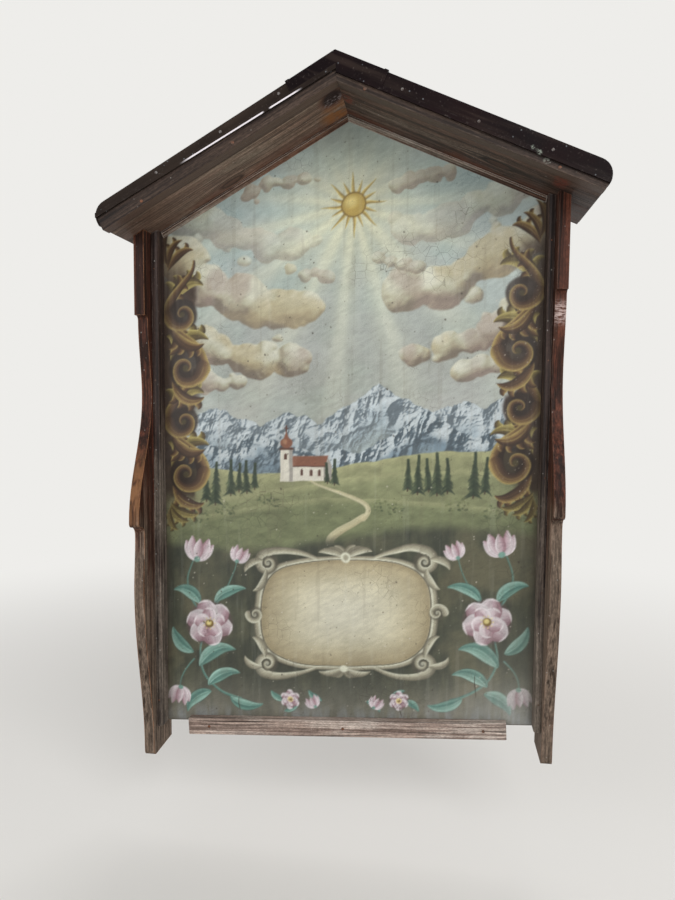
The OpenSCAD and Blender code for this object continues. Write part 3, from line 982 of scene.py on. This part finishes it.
def open_flower(centre, radius, turn, seed):
    """Two rings of broad petals round a golden middle."""
    centre = np.array(centre)
    disc(centre, radius * 1.02, radius * 0.98, PETAL[0] * 0.62, 3, 0.55)
    for ring, (count, share) in enumerate(((6, 1.0), (5, 0.66))):
        for k in range(count):
            a = turn + 2 * math.pi * (k + 0.5 * ring) / count
            tones = PETAL[::1 if math.cos(a) < 0.2 else -1] * (0.93 + 0.07 * ring)
            length, width = radius * share, radius * 0.42 * (share + 0.14)
            path = np.linspace(centre + towards(a) * length * 0.10, centre + towards(a) * length, 18)
            brush(path, width, tones, petal_width, 1.0, streak=0.10, seed=seed + k)
            brush(path[2:14], width * 0.34, tones[0], taper, 2.0, 0.5, seed=seed + k)
            rim = [centre + towards(a + t) * length * 0.97 for t in np.linspace(-0.34, 0.34, 12)]
            brush(rim, 1.3, PETAL[2] * 1.03, swell, 1.0, 0.85, seed=seed + k)
    disc(centre, radius * 0.20, radius * 0.19, GOLD[0], 1.2)
    disc(centre + (-0.6, 0.8), radius * 0.13, radius * 0.12, GOLD[2], 1.6)
    for k in range(9):
        disc(centre + towards(2 * math.pi * k / 9) * radius * 0.25, 0.9, 0.9, GOLD[2], 0.7)


def bell(centre, angle, size, seed):
    """A half-open bell flower seen from the side."""
    start = np.array(centre)
    for k, (spread, share) in enumerate(((0.55, 0.92), (-0.55, 0.92), (0.24, 1.0), (-0.24, 1.0),
                                         (0.0, 0.86))):
        way = towards(angle + spread) * size
        end = start + way * share
        side = np.array([-way[1], way[0]]) * np.sign(spread) * 0.16
        path = curve(start, start + way * 0.3 + side * 1.6, end - way * 0.3 + side, end + side * 0.9)
        brush(path, size * 0.21, PETAL[::1 if k % 2 else -1], lambda u: 0.35 + 0.75 * swell(u),
              seed=seed + k)
    disc(centre, size * 0.16, size * 0.14, MINT[1], 1.0)


def paint_spray(side):
    """Stems, leaves and bells beside the parchment, with the open flower at half height."""
    def at(dx, v):
        return (side * (150 + dx), v)

    for *points, width in (((-34, 26), (6, 34), (26, 66), (4, 108), 1.7),
                           ((2, 118), (30, 138), (34, 160), (18, 188), 1.5),
                           ((0, 120), (-14, 150), (-26, 160), (-30, 184), 1.2),
                           ((20, 70), (30, 60), (38, 50), (36, 34), 1.2)):
        brush(curve(*(at(*point) for point in points)), width, MINT[:2], even(1, 0.6), 0.9)
    for base, tip, bend, width, seed in (((14, 62), (-28, 82), -0.26, 8.6, 3),
                                         ((4, 40), (-34, 54), -0.24, 7.6, 5),
                                         ((20, 78), (44, 108), -0.20, 7.4, 6),
                                         ((12, 134), (44, 150), 0.24, 7.6, 7),
                                         ((-4, 134), (-40, 150), -0.24, 6.6, 8),
                                         ((-22, 28), (-60, 20), 0.20, 6.4, 9),
                                         ((0, 33), (28, 10), 0.24, 7.4, 10)):
        leaf(at(*base), at(*tip), bend * side, width, seed)
    up = math.pi / 2
    bell(at(16, 184), up + side * 0.18, 25, 10 + side)
    bell(at(-30, 182), up + side * 0.42, 17, 16 + side)
    bell(at(36, 38), -up + side * 0.15, 20, 24 + side)
    open_flower(at(2, 112), 26, 0.3 * side, 20)


def paint_garland():
    """Leaves and small flowers along the tablet's foot."""
    for k, x in enumerate((-66, -52, -24, 24, 52, 66)):
        leaf((x, 24), (x + math.copysign(15, x), 36 - 24 * (k % 2)), 0.2, 4.2, 40 + k)
    for x in (-60, 60):
        open_flower((x, 25), 10.5, 0.5, 50)
    for x in (-32, 32):
        bell((x, 17), math.pi / 2 - math.copysign(0.5, x), 13, 60)


# Age, and the whole painting

def picture_at(x, v):
    """The painting's colours at places in millimetres."""
    px = np.clip((x + sight_half) / STEP, 0, len(xs) - 1.001)
    pv = np.clip(v / STEP, 0, len(vs) - 1.001)
    ix, iv = px.astype(int), pv.astype(int)
    low, high = (mix(picture[row, ix], picture[row, ix + 1], px - ix) for row in (iv, iv + 1))
    return mix(low, high, pv - iv)


def unsteady(seed=180):
    """Shifts everything by up to 1.3 mm in soft waves, as a hand would."""
    shift_x, shift_v = (2.6 * (cloudy(X, V, 26, seed + k, 2) - 0.5) for k in (0, 1))
    picture[:] = picture_at(X + shift_x, V + shift_v)


def age(seed=200):
    """Brushwork, dirt, dust and small losses of an old varnished painting."""
    picture[:] = picture * (0.93 + 0.13 * cloudy(X, V * 0.5, 55, seed, 4)[..., None])
    hair = cloudy(X * 0.35 + V * 0.2, V - X * 0.5, 3.0, seed + 7, 3)[..., None]
    picture[:] = picture * (0.93 + 0.14 * hair)
    # Darker within about 9 mm of the sides and the foot.
    near_edge = np.minimum(EDGE - np.abs(X), V + 2)
    lay(0.42 * smooth(near_edge, 9, 0) * (0.5 + cloudy(X, V, 12, seed + 1, 3)), tone(56, 47, 39))
    run = cloudy(X, V * 0.06, 5, seed + 2, 3)
    lay(0.10 * smooth(run, 0.62, 0.78), tone(90, 82, 68))
    lay(0.08 * smooth(run, 0.36, 0.22), tone(200, 202, 196))
    local = np.random.default_rng(seed)
    for _ in range(700):
        x, v = local.uniform(-198, 198), local.uniform(4, 636)
        r = 0.45 + 0.6 * local.random() ** 4
        disc((x, v), r, r * local.uniform(0.7, 1.6), tone(52, 45, 37), 0.7, local.uniform(0.35, 0.85), 30)
    for _ in range(200):
        x, v = local.uniform(-198, 198), local.uniform(4, 260)
        r = 0.45 + 0.6 * local.random() ** 2
        disc((x, v), r, r, tone(196, 190, 176), 0.7, local.uniform(0.4, 0.8))
    # A pale bluish bloom at the lower right: weathering, lightened further by a painted sky reflection.
    haze = smooth(V, 62, 6) * smooth(X, 70, 185) * (0.9 * cloudy(X, V * 0.1, 4, seed + 4, 3))
    lay(0.75 * haze, tone(158, 164, 168))
    haze = smooth(V, 170, 30) * smooth(X, 60, 180) * (0.35 + 0.5 * cloudy(X, V * 0.5, 26, seed + 5, 4))
    lay(0.42 * haze, tone(164, 162, 152))
    for _ in range(170):
        x, v = 199 - 46 * local.random() ** 1.4, local.uniform(250, 500)
        r = 0.4 + 0.5 * local.random() ** 3
        disc((x, v), r, r, tone(186, 180, 168), 0.7, local.uniform(0.3, 0.75))
    for x, v0, v1 in ((141, 24, 60), (-118, 8, 30), (62, 4, 22)):
        path = np.stack([x + 0.8 * np.sin(np.linspace(0, 7, 20)), np.linspace(v0, v1, 20)], 1)
        brush(path, 0.6, tone(56, 48, 40), swell, 0.6, 0.8)


def paint():
    """The whole painting, from the sky forward."""
    sun = (6, 556)
    paint_sky()
    paint_glory(sun)
    paint_clouds()
    lay(0.24 * np.exp(-(np.hypot(X - sun[0], V - sun[1]) / 110) ** 2), GLOW)
    paint_sun(sun)
    paint_range(((-150, 352, 0.42), (-62, 344, 0.5), (34, 370, 0.62), (124, 350, 0.5), (196, 364, 0.5)),
                21, FAR, 7, 46)
    paint_range(((-186, 326, 0.42), (-96, 322, 0.42), (-6, 304, 0.4), (84, 338, 0.62), (166, 320, 0.44)),
                22, RIDGE, 6, 30)
    paint_hills()
    paint_land()
    paint_ground()
    for side in (-1, 1):
        paint_border(side)
    paint_cartouche((0, 122), 92, 58)
    for side in (-1, 1):
        paint_spray(side)
    paint_garland()
    unsteady()
    age()


# Paint film: four bands just in front of the tablet, each point with its own colour

FILM = 0.25
BELOW_APEX = 4


def paint_material():
    """Old oil paint under a satin varnish, with fine cracks in places."""
    material, shader, place = new_material("tablet_paint", 0.45, 0.4)
    colour = Signal(add(place.tree, "Attribute", attribute_name="painting"), "Color")
    colour = shaded(colour, fade(noise(place, 900, 2.0, 0.6), 0.25, 0.75, 0.90, 1.10))
    crack = fade(cells(place, 105.0, "DISTANCE_TO_EDGE"), 0.030, 0.006)
    crack = crack * fade(noise(place, 14), 0.50, 0.66)
    strokes = noise(place, (120, 120, 420), 3.0, 0.6, 0.6)
    put(shader, "Base Color", coat(colour, crack, 0.45, (60, 52, 42)))
    put(shader, "Roughness", fade(noise(place, 22, 4.0, 0.6), 0.35, 0.7, 0.34, 0.62))
    bump(shader, strokes - crack * 0.8, 0.7, 0.10 * MM)
    return material


def paint_band(name, first, last, material):
    """The film between two rows of the painting, cut along the gable, with its rim turned back."""
    v0, v1 = first * STEP, last * STEP
    bm = bmesh.new()
    bmesh.ops.create_grid(bm, x_segments=len(xs) - 1, y_segments=last - first, size=0.5)
    across = 2 * sight_half
    lay_out = Matrix(((across, 0, 0, 0),
                      (0, 0, 1, face_y - FILM),
                      (foot_rise * across, v1 - v0, 0, foot_z + (v0 + v1) / 2),
                      (0, 0, 0, 1 / MM))) * MM
    bmesh.ops.transform(bm, matrix=lay_out, verts=bm.verts)
    for side in OUTWARD:
        up = slope_up(side)
        low = on_slope(corners("gable_bead_" + side)[:, [0, 2]], side)[1].min()
        bmesh.ops.bisect_plane(bm, geom=bm.verts[:] + bm.edges[:] + bm.faces[:], clear_outer=True,
                               plane_co=(up[0] * low * MM, 0, (apex_z + up[1] * low) * MM),
                               plane_no=(up[0], 0, up[1]))
    rim = [e for e in bm.edges if e.is_boundary]
    rim = bmesh.ops.extrude_edge_only(bm, edges=rim)["geom"]
    rim = [v for v in rim if isinstance(v, bmesh.types.BMVert)]
    bmesh.ops.translate(bm, verts=rim, vec=(0, FILM * MM, 0))
    piece = finish_mesh(bm, name, material)
    place = np.empty(len(piece.data.vertices) * 3)
    piece.data.vertices.foreach_get("co", place)
    x, _, z = place.reshape(-1, 3).T / MM
    colour = to_linear(np.clip(picture_at(x, z - foot(x)), 0, 1))
    colour = np.column_stack([colour, np.ones(len(colour))]).astype(np.float32)
    layer = piece.data.color_attributes.new("painting", "FLOAT_COLOR", "POINT")
    layer.data.foreach_set("color", colour.ravel())
    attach(piece, "root")


paint()
film = paint_material()
rows = int((apex_z - foot_z - BELOW_APEX) / STEP)
for name, first, last in (("paint_foot", 1, 192), ("paint_land", 192, 384),
                          ("paint_sky", 384, 576), ("paint_gable", 576, rows)):
    paint_band(name, first, last, film)

board, shader, place = new_material("tablet_board", 0.6, 0.3)
put(shader, "Base Color", blend(noise(place, 60), linear((96, 90, 78)), linear((70, 62, 52))))
finish_node("tablet", board)


# Wood of the roof, the case and the back

ARRIS = 0.8
GRAIN = {"left": fall["left"], "right": -fall["right"]}
SEED = {"left": 1.0, "right": 2.0}
# One stained wood in lit and shaded copies: the left board's paler colours are painted light, the right
# board's darker ones painted shade.
SOFFIT_LIT_AND_SHADED = {"left": dict(fresh=(124, 99, 85), dark=(96, 76, 66), grey=(134, 122, 109), greying=0.42,
                       knot=(-120, -70, 110), knot_size=5),
          "right": dict(fresh=(80, 61, 52), dark=(48, 36, 32), grey=(94, 84, 76), greying=0.34,
                        knot=(150, -90, 110), knot_size=6)}


def soffit(side):
    """A roof board, red-brown beside the tablet, with marks of its own near the ridge, painted shade
    toward the eave, and on the left a painted shadow behind the bargeboard.
    """
    wood = Wood("stained_wood_roof_" + side, angle=GRAIN[side], seed=SEED[side], cracks=0.7,
                **SOFFIT_LIT_AND_SHADED[side])
    beside_tablet = fade(wood.y, (face_y - 34) * MM, (face_y - 8) * MM)
    wood.stain(beside_tablet * wood.patches((30, 60, 30), 0.38, 0.62), 0.7, (92, 55, 41))
    chips = noise(wood.place, 260, 3.0, 0.7)
    if side == "left":
        # Painted shade: darker toward the eave end.
        wood.stain(fade(wood.x, -0.12, -0.22), 0.4, (50, 39, 33))
        # A painted shadow: a dark strip on the soffit just behind the bargeboard.
        shadow_behind_barge = fade(wood.y, (barge_y.max() + 9) * MM, (barge_y.max() + 3) * MM)
        wood.stain(shadow_behind_barge, 0.8, (40, 31, 28))
        rust = wood.patches(70, 0.36, 0.60, 4.0, 0.65) * wood.spot((-9, -77, 171), (16, 24, 16))
        wood.stain(rust, 0.8, (142, 90, 46))
        wood.stain(wood.spot((-8, -111, 171), (15, 19, 16), 0.3), 0.6, (98, 56, 42))
        wood.stain(wood.spot((-8.5, -113, 171), (11, 14, 13), 0.35), 0.92, (33, 24, 27))
        flecks = fade(chips, 0.50, 0.60) * wood.spot((-9.5, -106, 171), (10, 9, 12), 0.4)
        wood.stain(flecks, 0.75, (136, 126, 128))
    else:
        # Painted shade: darker toward the eave end.
        wood.stain(fade(wood.x, 0.14, 0.24), 0.4, (50, 39, 33))
        bare = fade(chips, 0.42, 0.54) * wood.spot((5, -101, 174), (5, 9, 8), 0.7)
        wood.stain(bare, 0.8, (118, 56, 42))
        bare = fade(chips, 0.40, 0.56) * wood.spot((206, -112, 86), (6.5, 18, 12), 0.6)
        wood.stain(bare, 0.8, (98, 46, 35))
    wood.finish("roof_board_" + side, ARRIS)


def bargeboard(side):
    """The band below the metal edge, with painted light on its underside, and a pale fleck on the right.
    """
    wood = Wood("stained_wood_barge_" + side, (60, 48, 41), (33, 25, 23), (77, 67, 60), 0.36,
                GRAIN[side], SEED[side] + 4.0, wear=0.25 if side == "left" else 0.45)
    # Painted light: faces that look down are lightened, the left more than the right.
    wood.stain(wood.looking(DOWN), 0.55, (104, 84, 74) if side == "left" else (90, 76, 68))
    if side == "right":
        pale = wood.patches(260, 0.42, 0.52, 3.0, 0.7) * wood.spot((188, -144, 96), (3, 6, 2.4))
        wood.stain(pale, 0.5, (140, 142, 132))
    wood.finish("bargeboard_" + side, ARRIS)


def beads(side):
    """The upright bead, greyer toward the foot, and the paler bead along the gable."""
    upright = Wood("stained_wood_bead_" + side, (60, 46, 41), (32, 24, 22), (114, 104, 94),
                   lambda wood: fade(wood.z, 0.0, -0.43, 0.20, 0.66), UPRIGHT, SEED[side] + 8.0,
                   cracks=0.8, worn=(124, 110, 102), wear=0.50, specular=0.22, dust=0.65)
    upright.finish("bead_" + side)
    gable = Wood("stained_wood_gable_" + side, (100, 72, 58), (58, 40, 33), (138, 130, 120), 0.40,
                 GRAIN[side], SEED[side] + 12.0, worn=(190, 182, 172), wear=0.6)
    gable.finish("gable_bead_" + side)


def side_board(side):
    """Red-brown stain, greyer toward the foot; on the left a rubbed nose lit with painted sunlight, on
    the right a painted sheen.
    """
    left = side == "left"
    # The left board's paler orange worn edges are wear with painted sunlight on them.
    wood = Wood("red_wood_" + side, (76, 43, 32) if left else (80, 45, 33), (42, 24, 18),
                (108, 95, 83), lambda wood: fade(wood.z, -0.10, -0.40, 0.18, 0.66), UPRIGHT,
                SEED[side] + 16.0, worn=(158, 108, 74) if left else (116, 88, 74), wear=0.56,
                cracks=0.9, depth=0.6, specular=0.14)
    front = wood.looking(FORWARD)
    if left:
        # Rubbed wood on the nose, lightened with painted sunlight.
        rubbed_and_sunlit = front * wood.spot((-214, -120, -204), (13, 30, 46), 0.6)
        rubbed_and_sunlit = rubbed_and_sunlit * wood.patches((240, 240, 14), 0.22, 0.56, 3.0, 0.6)
        wood.stain(rubbed_and_sunlit, 0.62, (152, 108, 72))
    else:
        # A painted sheen below the step: a broad lighter spot, and a pale highlight inside it.
        wood.stain(front * wood.spot((214, -90, -40), (16, 26, 30), 0.7), 0.30, (100, 64, 50))
        painted_sheen = front * wood.spot((214, -90, -30), (12, 26, 10), 0.6)
        painted_sheen = painted_sheen * wood.patches((190, 190, 900), 0.42, 0.60, 3.0, 0.7)
        wood.stain(painted_sheen, 0.72, (206, 184, 178))
    wood.finish("side_board_" + side, ARRIS)


def make_saw_group():
    """The marks of a saw across an upright board."""
    tree, given, result = new_group("saw_marks", {"Place": "Vector"}, {"Height": "Float"})
    wave = add(tree, "TexWave", {"Vector": given["Place"], "Scale": 95.0, "Distortion": 2.0,
                                 "Detail": 2.0}, bands_direction="Z")
    put(result, "Height", Signal(wave, "Fac"))
    return tree


def make_nail_group():
    """Masks of two nails over each back board, and of the stained rings round them."""
    tree, given, result = new_group("batten_nails", {"Place": "Vector", "Middle": "Float"},
                                    {"Ring": "Float", "Head": "Float"})
    pitch = (corners("back_board_4")[:, 0].mean() - corners("back_board_2")[:, 0].mean()) / 4 * MM
    x, _, z = split(given["Place"])
    beside = Signal(add(tree, "Math", {0: x, 1: pitch, 2: -pitch}, operation="WRAP"))
    above = abs(z - x * foot_rise - given["Middle"]) - 9 * MM
    away = distance(Signal(add(tree, "CombineXYZ", {0: beside, 1: above})))
    put(result, "Ring", fade(away, 5.5 * MM, 2.5 * MM))
    put(result, "Head", fade(away, 2.6 * MM, 2.1 * MM))
    return tree


def back_board(k):
    """An upright board of the back, sawn and left bare."""
    wood = Wood(f"back_wood_{k}", (126, 104, 84), (86, 70, 56), (132, 124, 114), 0.5, UPRIGHT,
                40.0 + k, cracks=0.7, depth=0.6)
    saw = add(wood.place.tree, "Group", {"Place": wood.place}, node_tree=saw_group)
    wood.height = wood.height + Signal(saw) * 0.25
    wood.stain(wood.patches((16, 16, 5), 0.56, 0.72, 4.0), 0.5, (74, 68, 58))
    wood.finish(f"back_board_{k}")


def batten(name, seed):
    """A batten, with the nails that hold the back boards."""
    wood = Wood("back_wood_" + name, (120, 98, 78), (80, 64, 50), (126, 118, 108), 0.45, level,
                seed, cracks=0.7, depth=0.6)
    wood.stain(wood.patches(20, 0.55, 0.7, 4.0), 0.5, (70, 64, 54))
    middle = corners("back_batten_" + name)[:, 2].mean() * MM
    nails = add(wood.place.tree, "Group", {"Place": wood.place, "Middle": middle},
                node_tree=nail_group)
    wood.stain(Signal(nails, "Ring"), 0.5, (50, 42, 38))
    wood.stain(Signal(nails, "Head"), 0.9, (96, 78, 68))
    wood.finish("back_batten_" + name, 1.0)


saw_group = make_saw_group()
nail_group = make_nail_group()
for side in OUTWARD:
    soffit(side)
    bargeboard(side)
    beads(side)
    side_board(side)
rail = Wood("pale_wood", (156, 138, 127), (122, 104, 95), (172, 161, 152), 0.45, level, 30.0,
            cracks=0.9, worn=(200, 188, 180), depth=0.5, fine=1.7)
rail.finish("bottom_rail", ARRIS)
for k in range(1, 6):
    back_board(k)
batten("upper", 50.0)
batten("lower", 51.0)


# Sheet metal and nails

# Dark and faded paint for each sheet. The right sheet's darker tones are painted shade.
SHEET_SHADED_RIGHT = {"left": ((32, 25, 22), (44, 36, 31)), "right": ((14, 7, 9), (25, 14, 15))}
hem = corners("roof_sheet_left")
hem_y = hem[:, 1].min()


def lip_glint(place):
    """A painted highlight: near-white bare metal along the low edge of the left sheet's hem, 35 to 160 mm
    down, but for a gap at 70, a painted shadow across it.
    """
    down, up = on_slope(hem[hem[:, 1] < hem_y + 0.2][:, [0, 2]], "left")
    upper, lower = (np.argmin(np.where(near, up, 99)) for near in (down < 100, down > 100))
    rise = (up[lower] - up[upper]) / (down[lower] - down[upper])
    start = up[upper] - rise * down[upper]
    x, y, z = split(place)
    z = z - apex_z * MM
    down, up = (x * way[0] + z * way[1] for way in (slope_down("left"), slope_up("left")))
    lip = up - down * rise - start * MM
    line = fade(lip, 1.9 * MM, 1.4 * MM) * fade(lip, 0.0, 0.5 * MM)
    line = line * fade(down, 0.030, 0.040) * fade(down, 0.165, 0.150)
    gap = fade(down, 0.064, 0.067) * fade(down, 0.074, 0.071)
    return line * (1.0 - gap) * fade(y, (hem_y + 0.8) * MM, (hem_y + 0.3) * MM)


def make_paint_group():
    """Dark paint with fine wear, dents and run marks. X of Turned runs down the slope."""
    tree, given, result = new_group(
        "painted_sheet", {"Place": "Vector", "Turned": "Vector", "Dark": "Color", "Faded": "Color"},
        {"Color": "Color", "Roughness": "Float", "Height": "Float"})
    place, turned = given["Place"], given["Turned"]
    broad = noise(place, 14, 4.0, 0.6)
    fine = noise(place, 420, 3.0, 0.6)
    colour = blend(fade(broad, 0.35, 0.65), given["Dark"], given["Faded"])
    colour = coat(colour, fade(noise(turned, (7, 90, 90), 4.0, 0.6), 0.5, 0.7), 0.28, (70, 58, 52))
    put(result, "Color", coat(colour, fade(fine, 0.60, 0.74), 0.35, (92, 84, 80)))
    put(result, "Roughness", fade(broad, 0.3, 0.7, 0.40, 0.60))
    put(result, "Height", noise(turned, (10, 22, 22), 2.0, 0.5) + fine * 0.03)
    return tree


paint_group = make_paint_group()


def sheet_material(side):
    """Painted sheet with worn edges and dust, a painted highlight along the bare lip on the left and a
    pale fleck on the right.
    """
    material, shader, place = new_material("sheet_metal_" + side, 0.5, 0.06)
    tree = place.tree
    turned = Signal(add(tree, "Mapping", {"Vector": place, "Rotation": (0.0, GRAIN[side], 0.0)}))
    dark, faded = (linear(colour) for colour in SHEET_SHADED_RIGHT[side])
    paint = add(tree, "Group", {"Place": place, "Turned": turned, "Dark": dark, "Faded": faded},
                node_tree=paint_group)
    edge = add(tree, "Group", {"Place": place, "Wear": 0.40}, node_tree=edge_group)
    colour = coat(Signal(paint, "Color"), Signal(edge, "Mask"), 0.35, (88, 80, 80))
    specks = add(tree, "Group", {"Place": place, "Scale": 110.0, "Speck": 0.10, "Patches": 0.0},
                 node_tree=dust_group)
    colour = coat(colour, Signal(specks, "Mask"), 0.45, (128, 132, 136))
    if side == "left":
        # A painted highlight along the bare lip of the hem.
        colour = coat(colour, lip_glint(place), 1.0, (226, 220, 224))
    else:
        ragged = fade(noise(place, 420, 3.0, 0.7), 0.42, 0.56)
        for x, z, r in ((175.6, 107.6, 1.6), (178.6, 105.0, 1.3), (181.4, 102.6, 1.8)):
            fleck = spot(place, (x, hem_y, z), (r, 9, r), 0.8) * ragged
            colour = coat(colour, fleck, 0.8, (156, 164, 152))
    put(shader, "Base Color", colour)
    put(shader, "Roughness", Signal(paint, "Roughness"))
    bump(shader, Signal(paint, "Height"), 0.5, 2.5 * MM)
    return material


metal = {side: sheet_material(side) for side in OUTWARD}
for side in OUTWARD:
    finish_node("roof_sheet_" + side, metal[side])
# The ridge cap takes the right sheet, painted shade and all.
finish_node("ridge_cap", metal["right"])


def nail_material(name, colour, rust):
    """Dull metal, rusted in places."""
    material, shader, place = new_material(name, 0.5, 0.5)
    worn = fade(noise(place, 500), 0.4, 0.6)
    put(shader, "Base Color", blend(worn, linear(colour), linear(rust)))
    put(shader, "Metallic", 0.5)
    return material


def nail_heads(name, places, radius, rise, material, facing=(0, -1, 0)):
    """Round heads with a raised middle, that stand on a face at places in millimetres."""
    bm = bmesh.new()
    facing = Vector(facing)
    turn = facing.to_track_quat("Z", "Y").to_matrix().to_4x4()
    sunk, shoulder = -0.4, 0.55 * rise
    for place in places:
        middle = (Vector(place) + facing * (sunk + shoulder) / 2) * MM
        bmesh.ops.create_cone(bm, cap_ends=True, segments=14, radius1=radius * MM,
                              radius2=0.92 * radius * MM, depth=(shoulder - sunk) * MM,
                              matrix=Matrix.Translation(middle) @ turn)
    bm.normal_update()
    tops = [face for face in bm.faces if face.normal.dot(facing) > 0.9]
    bmesh.ops.inset_individual(bm, faces=tops, thickness=0.46 * radius * MM,
                               depth=(rise - shoulder) * MM)
    piece = finish_mesh(bm, name, material)
    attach(piece, "root")


def on_front(side, y, places):
    """Places on a plane across the front, each so far down a slope and above the gable line."""
    flat = [slope_down(side) * down + slope_up(side) * up + (0, apex_z) for down, up in places]
    return [(x, y, z) for x, z in flat]


zinc = nail_material("zinc_nails", (112, 108, 106), (70, 60, 56))
iron = nail_material("iron_nails", (84, 66, 56), (112, 70, 48))
for side, places in (("left", ((52, 16.5), (116, 16.1), (188, 16.6))),
                     ("right", ((60, 12.2), (135, 11.1), (205, 12.4)))):
    nail_heads("drip_nails_" + side, on_front(side, hem_y + 1.5, places), 1.5, 0.6, zinc)
places = (on_front("left", barge_y.min(), ((111, 2.0), (214, 2.0)))
          + on_front("right", barge_y.min(), ((28, 1.0), (217, 1.0))))
nail_heads("bargeboard_nails", places, 1.6, 0.5, iron)
for side, out in OUTWARD.items():
    board = corners("side_board_" + side)
    outer = np.abs(board[:, 0]).max() * out
    middle = (back_boards.min() + back_boards.max()) / 2
    low, pitch = board[:, 2].min() + 40, (np.ptp(board[:, 2]) - 70) / 4
    nail_heads("side_nails_" + side, [(outer, middle, low + pitch * k) for k in range(5)],
               2.4, 0.6, iron, (out, 0, 0))
    bead = corners("bead_" + side)
    middle = (bead[:, 0].min() + bead[:, 0].max()) / 2
    places = [(middle + 0.5 * out, bead[:, 1].min(), foot(middle) + 30 + 118 * k) for k in range(5)]
    nail_heads("bead_pins_" + side, places, 0.9, 0.25, iron)
rail_y = corners("bottom_rail")[:, 1].min()
nail_heads("rail_nails", [(x, rail_y, foot(x) - 3) for x in (-150, 0, 150)], 1.7, 0.4, iron)


# Camera, light and floor

BACKDROP = (238, 237, 234)
make_camera(place=(96.5, -824.2, -111.6), turn_left=7.792, tip_down=4.303, roll=-0.419, lens=29.2)
make_world(ambient=0.46, backdrop=BACKDROP)
make_lamp("key", (0.9, -1.5, 0.7), (0, -0.05, -0.15), 1.1, 18)
make_lamp("fill", (-1.1, -1.2, 0.1), (0, -0.05, -0.15), 1.2, 7.5)
make_lamp("rear", (0.3, 1.3, 0.9), (0, 0, -0.15), 1.2, 12)
make_floor(-600, (232, 230, 226), BACKDROP)
bpy.context.scene.view_settings.view_transform = "Standard"
